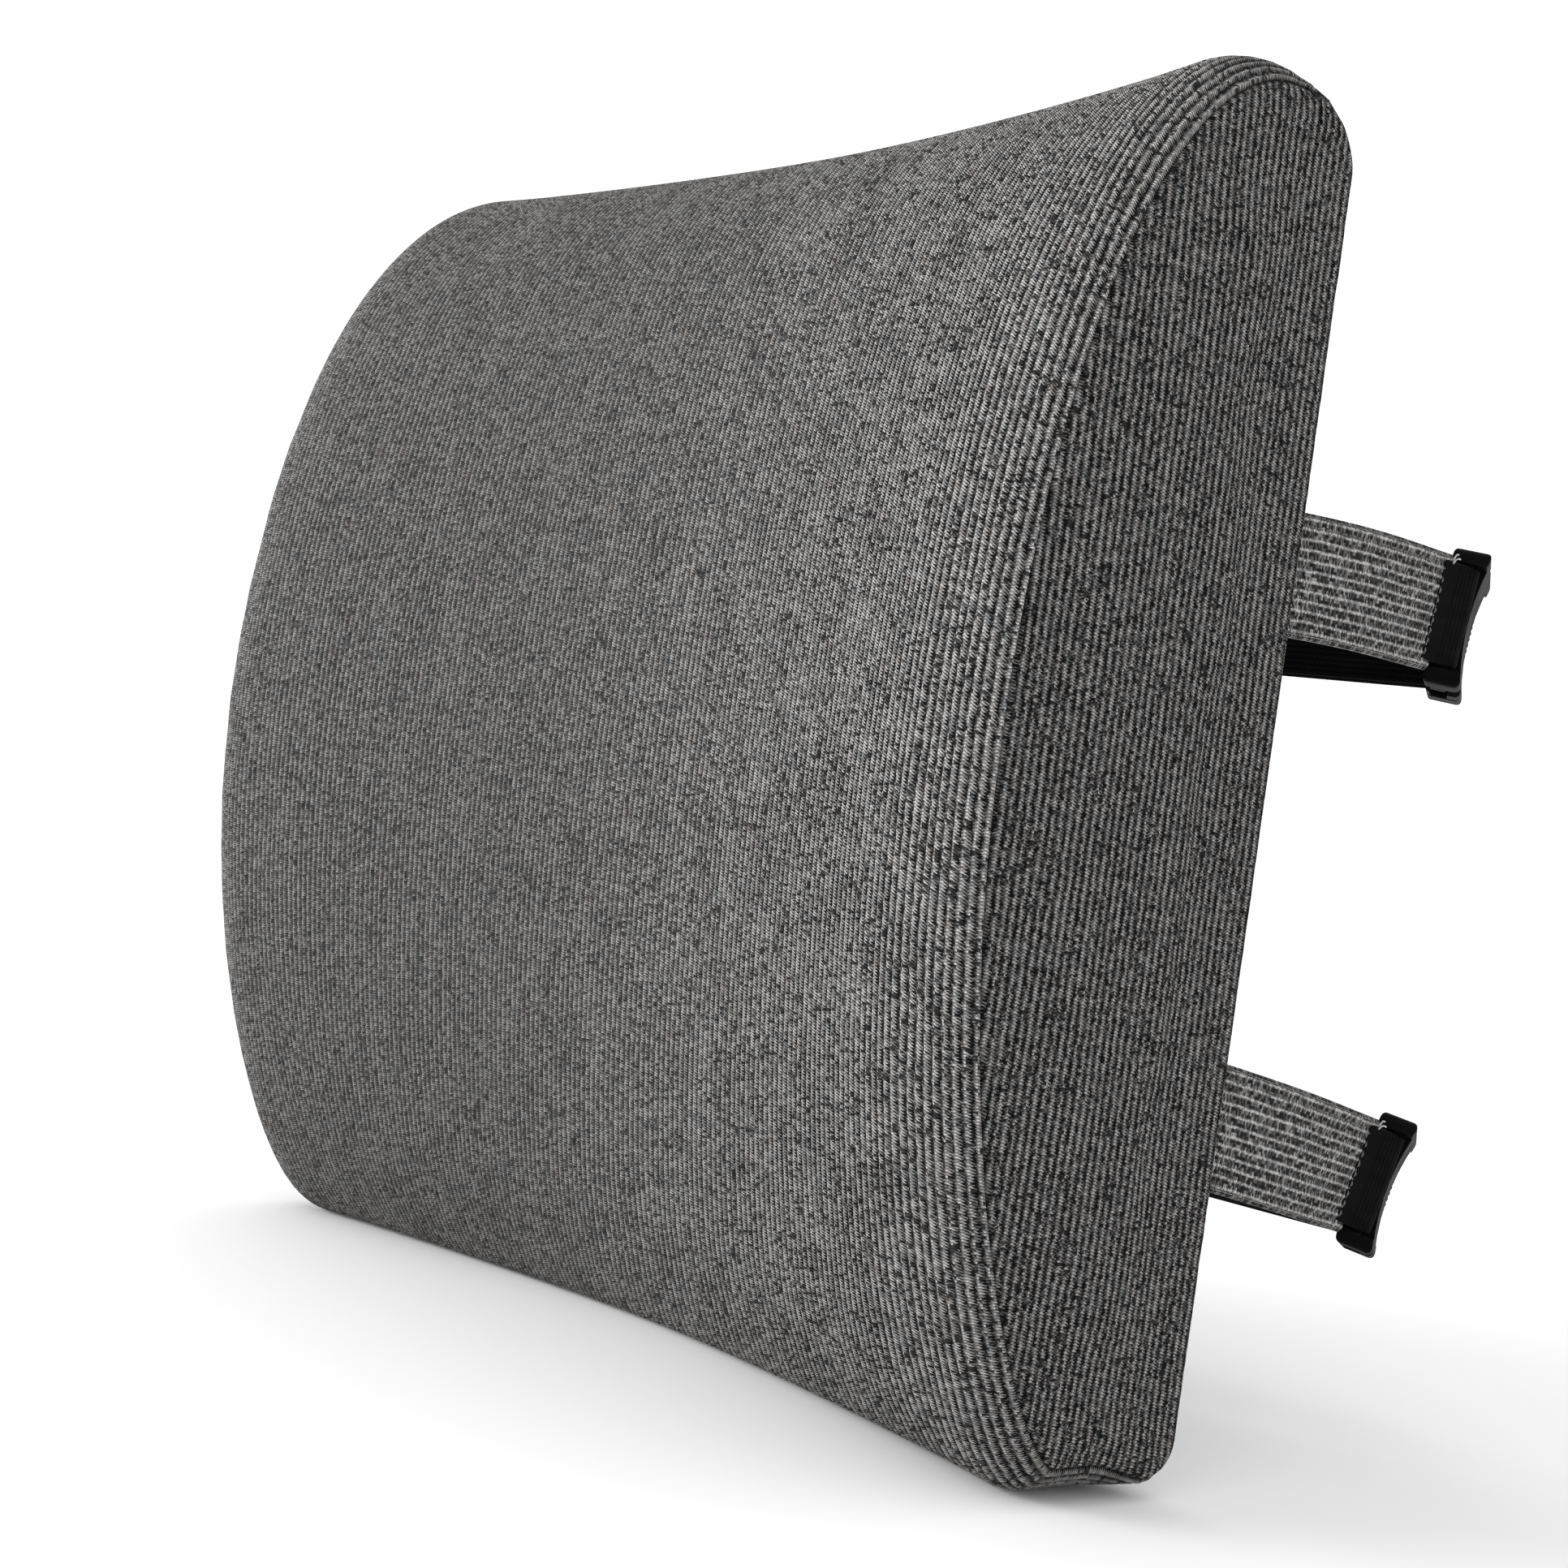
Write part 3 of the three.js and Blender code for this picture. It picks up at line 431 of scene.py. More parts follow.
def plastic_material(name, base, worn_colour, roughness):
    """Moulded acetal: fine spark-eroded grain, softly rounded edges a little polished by handling."""
    s = Shader(name)
    place_at = s.position()
    grain = s.noise(place_at, 4200.0, 2.0, 0.6)
    cloud = s.noise(place_at, 90.0, 3.0, 0.6)
    scuff = s.noise(place_at, 700.0, 4.0, 0.7)
    normal, edges = edge_wear(s, 0.00045)
    scuffed = s.times(edges, s.ramp(scuff, 0.42, 0.62))
    grained = s.ramp(cloud, 0.3, 0.7, roughness, roughness + 0.12)
    s.set(
        Base_Color=s.mix(scuffed, s.mix(cloud, base, tuple(1.35 * c for c in base)), worn_colour),
        Roughness=s.minus(grained, s.times(edges, 0.08)),
        Specular_IOR_Level=0.02,
        IOR=1.25,
        Normal=s.bump(grain, distance=0.00004, normal=normal),
    )
    return s.material


def metal_material(name, base, bright, roughness):
    """Dark plated zinc with polished edges and fine scratches."""
    s = Shader(name)
    place_at = s.position()
    brushed = [s.times(v, k) for v, k in zip(s.split(place_at), (300.0, 2600.0, 2600.0))]
    scratch = s.noise(s.vector(*brushed), 1.0, 3.0)
    cloud = s.noise(place_at, 240.0, 3.0)
    normal, edges = edge_wear(s, 0.0003)
    s.set(
        Base_Color=s.mix(s.times(edges, s.ramp(cloud, 0.35, 0.6)), base, bright),
        Metallic=0.95,
        Roughness=s.ramp(scratch, 0.3, 0.7, roughness, roughness + 0.16),
        Normal=s.bump(scratch, distance=0.00003, normal=normal),
    )
    return s.material


def thread_material(name, dark, light):
    """Twisted polyester sewing thread; the weave's first number runs round it and the second along it."""
    s = Shader(name)
    around, along, _ = s.weave()
    ply = s.math("PINGPONG", s.plus(s.times(along, 1.6), around), 0.5)
    fuzz = s.noise(s.vector(around, along, 1.0), 4.0, 2.0)
    shade = s.times(s.ramp(ply, 0.05, 0.4, 0.4, 1.0), s.ramp(fuzz, 0.3, 0.7, 0.6, 1.0))
    s.set(
        Base_Color=s.mix(shade, dark, light),
        Roughness=s.ramp(fuzz, 0.3, 0.7, 0.5, 0.7),
        Sheen_Weight=0.1,
        Normal=s.bump(s.times(ply, 0.12)),
    )
    return s.material


def foam_material(name):
    """Open-cell memory foam with a faint skin."""
    s = Shader(name)
    place_at = s.position()
    cells = s.node("TexVoronoi", {"Vector": place_at, "Scale": 900.0}, feature="SMOOTH_F1")
    cloud = s.noise(place_at, 60.0, 4.0)
    pores = s.ramp(cells.outputs["Distance"], 0.1, 0.7)
    s.set(
        Base_Color=s.mix(s.times(pores, cloud), (0.78, 0.72, 0.55), (0.58, 0.50, 0.34)),
        Roughness=s.ramp(pores, 0.0, 1.0, 0.85, 1.0),
        Normal=s.bump(pores, distance=0.0003),
    )
    return s.material


knit_front = knit_material("knit_front", wale=FRONT_WALE, course=0.70, rib_width=0.24, even=(120.0, 320.0))
knit_side = knit_material("knit_side", wale=SIDE_WALE, course=0.70, rib_width=0.23, rib_bump=RIB_RELIEF)
knit_band = knit_material(
    "knit_band", wale=BAND_WALE, course=0.45, rib_width=0.14, whole=0.85, purl_light=0.75, light=PALE_YARN
)
BLACK_YARN = (0.002, 0.002, 0.0025)
webbing = webbing_material("webbing", 0.9, LOOP_PITCH, BLACK_YARN, (0.010, 0.010, 0.011), between=0.8)
elastic = webbing_material("elastic", ELASTIC_PITCH, 0.8, BLACK_YARN, (0.009, 0.009, 0.010))
zip_tape = webbing_material("zip_tape", 0.55, 0.6, (0.010, 0.010, 0.011), (0.045, 0.045, 0.048))
buckle_plastic = plastic_material("buckle_plastic", (0.004, 0.004, 0.0045), (0.02, 0.02, 0.022), 0.38)
zip_nylon = plastic_material("zip_nylon", (0.014, 0.014, 0.015), (0.04, 0.04, 0.042), 0.34)
zip_metal = metal_material("zip_metal", (0.16, 0.16, 0.17), (0.50, 0.49, 0.48), 0.28)
cover_thread = thread_material("cover_thread", (0.03, 0.03, 0.03), (0.16, 0.155, 0.15))
white_thread = thread_material("white_thread", (0.45, 0.45, 0.44), (0.85, 0.85, 0.84))
foam = foam_material("foam")


# ---------------- the cushion's section

def bezier(a, b, c, d, count):
    t = np.linspace(0, 1, count + 1)[:, None]
    a, b, c, d = (np.array(p, float) for p in (a, b, c, d))
    return (1 - t) ** 3 * a + 3 * (1 - t) ** 2 * t * b + 3 * (1 - t) * t * t * c + t**3 * d


def arc(centre, radii, start, stop, shares):
    angle = start + (stop - start) * np.asarray(shares, float)
    return np.stack([centre[0] + radii[0] * np.cos(angle), centre[1] + radii[1] * np.sin(angle)], 1)


CLOSE_AT_START = [0, 0.025, 0.055, 0.09, 0.15, 0.25, 0.4, 0.6, 0.8, 1]
CLOSE_AT_END = [1 - share for share in reversed(CLOSE_AT_START)]


def outline(depth, foot_steps=4, low_steps=42, high_steps=46):
    """The section from the bottom of the back, round the front, to the top of the back, as (y, z)."""
    foot = max(FOOT_SHARE * depth, EDGE_RADIUS + 1)
    top = TOP_SHARE * depth
    crown = (-depth, CROWN_HEIGHT)
    under = (-foot - (depth - foot) * UNDER, 0)
    low = (-depth, CROWN_HEIGHT * (1 - LOW))
    high = (-depth, CROWN_HEIGHT + (HEIGHT - CROWN_HEIGHT) * HIGH)
    over = (-top - (depth - top) * OVER, HEIGHT)
    parts = [
        arc((-EDGE_RADIUS, EDGE_RADIUS), (EDGE_RADIUS, EDGE_RADIUS), 0, -math.pi / 2, CLOSE_AT_START),
        np.linspace((-EDGE_RADIUS, 0), (-foot, 0), foot_steps + 1),
        bezier((-foot, 0), under, low, crown, low_steps),
        bezier(crown, high, over, (-top - 0.5, HEIGHT), high_steps),
        arc((-top, HEIGHT - TOP_CORNER_HEIGHT), (top, TOP_CORNER_HEIGHT), math.pi / 2, 0, CLOSE_AT_END),
    ]
    return np.concatenate([parts[0]] + [part[1:] for part in parts[1:]])


def travelled(points):
    """The distance along a path to each of its points."""
    steps = np.linalg.norm(np.diff(points, axis=0), axis=1)
    return np.concatenate([[0], np.cumsum(steps)])


def read_off(at, way, values):
    """Vectors given at the distances in way, read off at other distances."""
    return np.stack([np.interp(at, way, values[:, k]) for k in range(values.shape[1])], -1)


def inward(points):
    """Unit vectors pointing into the section."""
    along = np.gradient(points, axis=0)
    along[0] = along[-1] = (0, -1)
    along = unit(along)
    return np.stack([along[:, 1], -along[:, 0]], 1)


def depth_at(x):
    lift = lambda share: (share**2 + DISH_EASE**2) ** (DISH_POWER / 2)
    share = (lift(abs(x) / HALF_WIDTH) - lift(0)) / (lift(1) - lift(0))
    return WAIST_DEPTH + (WING_DEPTH - WAIST_DEPTH) * share


def seam_fade(section):
    """0 at the two back edges, 1 along the rest of a section."""
    distance = travelled(section)
    return smooth_step(np.minimum(distance, distance[-1] - distance) / SEAM_TAPER)


# ---------------- padding, by cloth simulation

def end_rounding(x):
    past = max(abs(x) - ROUND_START, 0)
    return END_RADIUS - math.sqrt(END_RADIUS**2 - past**2)


def closed_form(inset):
    """The whole cushion as one closed mesh, its ends rounded."""
    end = HALF_WIDTH - inset
    near = np.array([end, end - 1.2, end - 3.5, end - 7, end - 11.5, ROUND_START])
    xs = np.concatenate([-near, np.linspace(-ROUND_START, ROUND_START, 32)[1:-1], near[::-1]])
    rings = []
    for x in xs:
        section = outline(depth_at(x), 3, 24, 26)
        amount = inset + end_rounding(x) * seam_fade(section)
        shifted = section + inward(section) * amount[:, None]
        rings.append(np.column_stack([np.full(len(shifted), x), shifted]))
    rings = np.array(rings)
    return rings, closed_faces(*rings.shape[:2])


def puffed():
    """How the cover swells over the foam: places on the cushion, and how far each moves, in millimetres."""
    points, faces = closed_form(PUFF_START)
    body = make_object("puff", points, faces, foam)
    bpy.context.view_layer.objects.active = body
    remesh = body.modifiers.new("remesh", "REMESH")
    remesh.mode = "VOXEL"
    remesh.voxel_size = CLOTH_VOXEL * MM
    graph = bpy.context.evaluated_depsgraph_get()
    even = bpy.data.meshes.new_from_object(body.evaluated_get(graph))
    body.modifiers.clear()
    body.data = even
    rest = np.array([v.co for v in even.vertices])
    cloth = body.modifiers.new("cloth", "CLOTH")
    for setting, value in CLOTH.items():
        setattr(cloth.settings, setting, value)
    cloth.settings.effector_weights.gravity = 0
    scene = bpy.context.scene
    scene.frame_start, scene.frame_end = 1, CLOTH_FRAMES
    for step in range(1, CLOTH_FRAMES + 1):
        scene.frame_set(step)
    graph = bpy.context.evaluated_depsgraph_get()
    swollen = np.array([v.co for v in body.evaluated_get(graph).data.vertices])
    scene.frame_set(1)
    bpy.data.objects.remove(body)
    moved = (swollen - rest) / MM
    far = np.linalg.norm(moved, axis=1, keepdims=True)
    moved *= np.minimum(1, PUFF_CAP / np.maximum(far, 1e-6))
    rest = rest / MM
    rest[:, 1] -= SETBACK
    return rest, moved


class Puff:
    def __init__(self):
        self.tree = None
        rest, self.moved = puffed()
        self.tree = KDTree(len(rest))
        for i, point in enumerate(rest):
            self.tree.insert(point, i)
        self.tree.balance()

    def at(self, points, normals):
        """How far each point rises along its normal, evened out so that the cover stays above the foam."""
        if self.tree is None:
            return np.full(len(points), PUFF_MEAN)
        rise = np.zeros(len(points))
        for k, (point, normal) in enumerate(zip(points, normals)):
            total = weight = 0.0
            for _, i, distance in self.tree.find_n(point, PUFF_NEIGHBOURS):
                share = math.exp(-((distance / PUFF_REACH) ** 2))
                total += share * float(self.moved[i] @ normal)
                weight += share
            rise[k] = total / max(weight, 1e-9)
        return np.clip(PUFF_SHARE * (rise - np.median(rise)), PUFF_LOWEST, PUFF_HIGHEST) + PUFF_MEAN


puff = Puff()


def padded_rise(grid, normals, mask, step):
    """The swelling over a grid of points, looked up on every step-th point and smoothed between."""
    rows = np.unique(np.append(np.arange(0, grid.shape[0], step[0]), grid.shape[0] - 1))
    columns = np.unique(np.append(np.arange(0, grid.shape[1], step[1]), grid.shape[1] - 1))
    some = puff.at(grid[np.ix_(rows, columns)].reshape(-1, 3), normals[np.ix_(rows, columns)].reshape(-1, 3))
    some = some.reshape(len(rows), len(columns))
    wide = np.array([np.interp(np.arange(grid.shape[1]), columns, line) for line in some])
    full = np.array([np.interp(np.arange(grid.shape[0]), rows, line) for line in wide.T]).T
    return full * mask


# ---------------- cover

def groove(distance, width=1.0, depth=0.85):
    """How far the cloth turns in where it is sewn, by distance from the seam."""
    return depth * np.clip(1 - distance / width, 0, 1) ** 2


def pucker(distance, along, seed, height=0.26):
    """Small gathers beside a seam."""
    fine = wander(LONGEST_SEAM, 3.1, seed)
    wide = wander(LONGEST_SEAM, 11.0, seed + 50)
    reach = np.exp(-distance / 5.0) * smooth_step(distance / 1.6)
    return height * reach * (0.65 * fine(along) + 0.6 * wide(along))


def rib_columns():
    """Places across the front panel, RIB_STEPS to a rib, and how many ribs lie before each."""
    fine = np.linspace(-ACROSS_END, ACROSS_END, 4001)
    pitch = np.interp(fine, STRETCH_AT, RIB_PITCH)
    count = np.concatenate([[0], np.cumsum(np.diff(fine) * 2 / (pitch[1:] + pitch[:-1]))])
    ribs = np.linspace(0, count[-1], round(count[-1]) * RIB_STEPS + 1)
    return np.interp(ribs, count, fine), ribs * round(count[-1]) / count[-1]


def cover_front():
    across, ribs = rib_columns()
    bend = np.maximum(np.abs(across) - ROUND_START, 0) / END_RADIUS
    xs = np.sign(across) * (np.minimum(np.abs(across), ROUND_START) + END_RADIUS * np.sin(bend))
    rounding = END_RADIUS * (1 - np.cos(bend))
    columns, ways = [], []
    for x, turn in zip(xs, rounding):
        section = outline(depth_at(x))
        shifted = section + inward(section) * (turn * seam_fade(section))[:, None]
        columns.append(np.column_stack([np.full(len(section), x), shifted]))
        ways.append(travelled(section))
    grid = np.array(columns).transpose(1, 0, 2)
    ways = np.array(ways).T
    to_end = np.broadcast_to(ACROSS_END - np.abs(across), ways.shape)
    to_back = np.minimum(ways, ways[-1] - ways)
    to_seam = np.minimum(to_end, to_back)
    normals = grid_normals(grid)
    if normals[len(normals) // 2, len(xs) // 2, 1] > 0:
        normals = -normals
    mask = smooth_step(to_seam / 42)
    rise = padded_rise(grid, normals, mask, (3, 16))
    ribbed = RIB_RELIEF * np.cos(2 * math.pi * (ribs - 0.5))[None, :] * smooth_step(to_back / 3)
    at_ends = np.where(across < 0, pucker(to_end, ways, 11), pucker(to_end, ways, 12))
    gathers = at_ends * smooth_step(to_back / 20)
    gathers = gathers + pucker(to_back, across + 400, 13) * smooth_step(to_end / 12)
    turned = groove(to_end) + groove(to_back)
    grid = grid + normals * (rise + ribbed + gathers - turned)[..., None]
    weave = np.stack(np.broadcast_arrays(ribs[None, :] * FRONT_WALE, ways, to_seam), -1)
    faces = grid_faces(*grid.shape[:2])[:, ::-1]
    obj = make_object("knit_front", grid, faces, knit_front, weave)
    return stand_for(obj, "cover_front_panel")


def even_points(points, spacing):
    distance = travelled(points)
    count = max(round(distance[-1] / spacing), 2)
    return read_off(np.linspace(0, distance[-1], count + 1), distance, points)


def cover_side(name, side):
    section = even_points(outline(WING_DEPTH), SIDE_SPACING)
    fade = seam_fade(section)
    turn = END_RADIUS * (1 - math.cos(SEAM_ANGLE))
    front = section + inward(section) * (SIDE_GAP * fade + turn * fade + BACK_INSET * (1 - fade))[:, None]
    chord = even_points(np.array([front[-1], front[0]]), SIDE_SPACING)[1:-1]
    loop = np.concatenate([front, chord])
    fade = np.concatenate([fade, np.zeros(len(chord))])
    along = unit(np.roll(loop, -1, 0) - np.roll(loop, 1, 0))
    into = np.stack([along[:, 1], -along[:, 0]], 1)
    reach = SIDE_ROUND * fade + (BACK_ROUND - BACK_INSET) * (1 - fade)
    seam_x = SEAM_X + SIDE_GAP + 0.6 * (1 - fade)
    rings, from_seam = [], []
    for distance in FROM_SEAM:
        rings.append(loop + into * distance)
        from_seam.append(np.full(len(loop), distance))
    last = rings[-1]
    heights = SPINE_FOOT + (last[:, 1] - last[:, 1].min()) / np.ptp(last[:, 1]) * (SPINE_TOP - SPINE_FOOT)
    spine = np.stack([np.interp(heights, SPINE_HEIGHTS, SPINE_DEPTHS), heights], 1)
    for share in np.linspace(0, 1, 14)[1:]:
        ring = last * (1 - share) + spine * share
        rings.append(ring)
        from_seam.append(FROM_SEAM[-1] + np.linalg.norm(ring - last, axis=1))
    flat, e = np.array(rings), np.array(from_seam)
    share = np.minimum(e / reach, 1)
    arch = np.sin(share * math.pi / 2) * fade + np.sqrt(1 - (1 - share) ** 2) * (1 - fade)
    x = seam_x + (HALF_WIDTH - seam_x) * arch
    grid = np.stack([x, flat[..., 0], flat[..., 1]], -1)
    normals = np.zeros_like(grid)
    normals[..., 0] = 1
    mirror = np.array([side, 1, 1])
    mask = smooth_step(e / 30)
    rise = padded_rise(grid * mirror, normals * mirror, mask, (2, 3))
    gathers = pucker(e, travelled(loop)[None, :], 20 + side) * smooth_step(e / 0.6)
    grid[..., 0] += rise + gathers - groove(e, 0.9, 0.9)
    weave = np.stack([flat[..., 0] + into[:, 0] * (x - HALF_WIDTH), flat[..., 1], e], -1)
    faces = grid_faces(*grid.shape[:2], wrap=True)
    faces = faces if side > 0 else faces[:, ::-1]
    obj = make_object(f"knit_side_{name}", grid * mirror, faces, knit_side, weave)
    bm = bmesh.new()
    bm.from_mesh(obj.data)
    bmesh.ops.remove_doubles(bm, verts=bm.verts, dist=0.00002)
    bmesh.ops.recalc_face_normals(bm, faces=bm.faces)
    bm.to_mesh(obj.data)
    bm.free()
    return stand_for(obj, f"cover_side_{name}")


def cover_back(name, bottom, top, fold_at):
    """A back panel between two heights; the edge at fold_at is folded under beside the zip."""
    edge_x = HALF_WIDTH - 0.9
    ribs = round(2 * edge_x / FRONT_WALE)
    across = np.linspace(-edge_x, edge_x, ribs * RIB_STEPS + 1)
    hem, inner = np.array([0, 0.3, 0.7, 1.2, 1.9, 2.8, 4.2]), 6.5
    between = np.linspace(bottom + inner, top - inner, max(int((top - bottom - 2 * inner) / 4), 2))
    rows = np.concatenate([bottom + hem, between, top - hem[::-1]])
    x, z = np.meshgrid(across, rows)
    to_side = edge_x - np.abs(x)
    to_fold = np.abs(z - fold_at)
    to_sewn = np.abs(z - (bottom if fold_at == top else top))
    over = np.maximum(np.abs(x) - (HALF_WIDTH - BACK_ROUND), 0)
    y = np.sqrt(np.maximum(BACK_ROUND**2 - over**2, 0)) - BACK_ROUND
    grid = np.stack([x, y, z], -1)
    normals = np.zeros_like(grid)
    normals[..., 1] = 1
    mask = smooth_step(np.minimum(to_side, np.minimum(to_sewn, to_fold * 1.6)) / 32)
    rise = padded_rise(grid, normals, mask, (2, 16))
    ribbed = RIB_RELIEF * np.cos(2 * math.pi * (x / FRONT_WALE - 0.5)) * smooth_step(to_side / 3)
    folded = 0.55 - 2.3 * np.clip(1 - to_fold / 1.3, 0, 1) ** 2.4 - 0.55 * smooth_step(to_fold / 9)
    stitched = -0.35 * np.exp(-(((to_fold - 3.2) / 0.6) ** 2))
    gathers = pucker(to_side, z, 31) + pucker(to_sewn, x + 400, 33) * smooth_step(to_side / 8)
    grid[..., 1] += rise + ribbed + gathers + folded + stitched - groove(to_side) - groove(to_sewn)
    weave = np.stack([x, z, np.minimum(to_side, to_sewn)], -1)
    faces = grid_faces(*grid.shape[:2])[:, ::-1]
    obj = make_object(f"knit_back_{name}", grid, faces, knit_front, weave)
    return stand_for(obj, f"cover_back_{name}")


def foam_block():
    points, faces = closed_form(FOAM_INSET)
    return stand_for(make_object("foam_block", points, faces, foam), "foam_core")


# ---------------- strips, stitches and the zip

def strip(middle, up, thickness, width, rib=None, relief=0.0, cross=None, spacing=1.0):
    """A flat strip as a grid of points round its section, through middle points and the way its width points
    at each. rib is the pitch of ribs along its length and cross that of ribs across it."""
    way = travelled(middle)
    count = max(round(way[-1] / spacing), 2)
    at = np.linspace(0, way[-1], count + 1)
    middle = read_off(at, way, middle)
    up = unit(read_off(at, way, up))
    face = unit(np.cross(up, np.gradient(middle, axis=0)))
    half, radius = thickness / 2, thickness / 2 * 0.96
    steps = 6 * round((width - 2 * radius) / rib) if rib else 24
    flat = np.linspace(-(width / 2 - radius), width / 2 - radius, steps + 1)
    turn = np.linspace(0, math.pi, 8)[1:-1]
    bulge = width / 2 - radius + radius * np.sin(turn)
    tall = np.concatenate([flat, bulge, flat[::-1], -bulge])
    out = np.concatenate([np.full(len(flat), half), half * np.cos(turn)])
    out = np.concatenate([out, -out])
    girth = np.concatenate([flat, flat[-1] + radius * turn, flat[::-1], flat[0] - radius * (math.pi - turn)])
    depth = np.repeat(out[None, :], len(middle), 0)
    if rib:
        depth = depth * (1 + relief / half * np.cos(2 * math.pi * (girth / rib - 0.5))[None, :])
    if cross:
        depth = depth * (1 + relief / half * np.cos(2 * math.pi * at / cross)[:, None])
    grid = middle[:, None] + face[:, None] * depth[..., None] + up[:, None] * tall[None, :, None]
    edge = np.minimum(at, at[-1] - at) + 3.0
    weave = np.stack(np.broadcast_arrays(girth[None, :], at[:, None], edge[:, None]), -1)
    return grid, weave


def heading_vector(heading):
    return np.stack([np.cos(heading), np.sin(heading), 0 * np.asarray(heading, float)], -1)


def leaning(heading, lean):
    """Across a strap whose top leans outwards: the way its width points, and out of its face."""
    heading, lean = np.broadcast_arrays(np.asarray(heading, float), np.asarray(lean, float))
    outward = np.stack([np.sin(heading), -np.cos(heading), 0 * heading], -1)
    c, s = np.cos(lean)[..., None], np.sin(lean)[..., None]
    return VERTICAL * c + outward * s, outward * c - VERTICAL * s


BUCKLE_FORWARD = heading_vector(BUCKLE_HEADING)
BUCKLE_UP, BUCKLE_FACE = leaning(BUCKLE_HEADING, BUCKLE_LEAN)


def strap_place(points, height, droop):
    """From a strap's own frame to the cushion's."""
    c, s = math.cos(math.radians(droop)), math.sin(math.radians(droop))
    x, y, z = points[..., 0], points[..., 1], points[..., 2]
    return np.stack([x, y * c + z * s, height - y * s + z * c], -1)


def closed_strip(name, grid, weave, material):
    return make_object(name, grid, closed_faces(*grid.shape[:2]), material, weave)


def root_depth(droop):
    return ROOT_GAP + BAND_WIDTH / 2 * abs(math.sin(math.radians(droop)))


def band_stations(droop):
    root = np.array([ROOT_X, root_depth(droop)])
    arrival = heading_vector(BAND_HEADING)[:2]
    end = BAR - arrival * 9.3
    start = heading_vector(math.radians(72))[:2]
    curve = bezier(root, root + 20 * start, end - 20 * arrival, end, 40)
    plan = np.concatenate([[root - start * (root[1] + 0.9)], curve, [end + arrival * 1.2]])
    share = smooth_step(travelled(plan) / travelled(plan)[-1])[:, None]
    up = VERTICAL * (1 - share) + BUCKLE_UP * share
    return np.column_stack([plan, np.zeros(len(plan))]), up


def in_buckle(x, y):
    """Points in a buckle's own length and thickness, in the strap's frame."""
    return np.append(BAR, 0) + np.asarray(x)[:, None] * BUCKLE_FORWARD - np.asarray(y)[:, None] * BUCKLE_FACE


def loop_stations():
    radius, apart = BAR_SIZE + LOOP_THICKNESS / 2, LOOP_THICKNESS / 2 + 0.3
    angle = np.linspace(-math.pi * 0.62, math.pi * 0.62, 30)
    x = np.concatenate([[-12.0, -6.0], radius * np.cos(angle), [-6.0, -12.0]])
    y = np.concatenate([[-apart * 0.85, -apart], radius * np.sin(angle), [apart, apart * 0.85]])
    c, s = math.cos(BAND_HEADING - BUCKLE_HEADING), math.sin(BAND_HEADING - BUCKLE_HEADING)
    middle = in_buckle(x * c - y * s, x * s + y * c)
    return middle, np.repeat(BUCKLE_UP[None, :], len(middle), 0)


def elastic_stations(droop):
    """The elastic from its free tail, round the clip's bar and on to its left end; and its straight run's
    start and direction."""
    clip_bar = np.append(BAR, 0) + BUCKLE_FORWARD * CLIP_BAR
    turned = heading_vector(BUCKLE_HEADING + math.pi / 2)
    centre = clip_bar + BUCKLE_FORWARD * LEAD_OUT + TURN_RADIUS * turned
    root = np.array([-ROOT_X, root_depth(droop) + LAYER_OFFSET + 0.3, 0.0])
    to_root = root - centre
    heading = math.atan2(to_root[1], to_root[0]) + math.asin(TURN_RADIUS / np.linalg.norm(to_root))
    heading = (heading + 2 * math.pi) % (2 * math.pi)
    start = centre + TURN_RADIUS * heading_vector(heading - math.pi / 2)
    run = heading_vector(heading)
    length = np.linalg.norm(root - start)
    lead = np.linspace(0, LEAD_OUT, 5)[:-1]
    turning = np.linspace(BUCKLE_HEADING, heading, 16)
    along = np.arange(2.0, length, 2.0)
    line = np.concatenate(
        [
            clip_bar + lead[:, None] * BUCKLE_FORWARD,
            centre + TURN_RADIUS * heading_vector(turning - math.pi / 2),
            start + along[:, None] * run,
            [root, root + run * 2.5 + np.array([0, -2.2, 0])],
        ]
    )
    headings = np.concatenate([np.full(4, BUCKLE_HEADING), turning, np.full(len(along) + 2, heading)])
    upright = np.zeros(len(line))
    past = np.append(along, [length, length]) - UPRIGHT_START
    upright[20:] = smooth_step(past / (length - UPRIGHT_START))
    up, face = leaning(headings, BUCKLE_LEAN * (1 - upright))
    bar_offset = BAR_SIZE + ELASTIC_THICKNESS / 2
    close = smooth_step(travelled(line) / LAYERS_CLOSE)
    offset = (bar_offset * (1 - close) + LAYER_OFFSET * close)[:, None]
    tail = 20 + int(np.argmax(along >= TAIL_END)) + 1
    angle = np.linspace(0, math.pi, 18)[1:-1, None]
    wrap = clip_bar + bar_offset * (BUCKLE_FACE * np.cos(angle) - BUCKLE_FORWARD * np.sin(angle))
    middle = np.concatenate([(line + face * offset)[:tail][::-1], wrap, line - face * offset])
    ups = np.concatenate([up[:tail][::-1], np.repeat(BUCKLE_UP[None, :], len(wrap), 0), up])
    return middle, ups, start, run


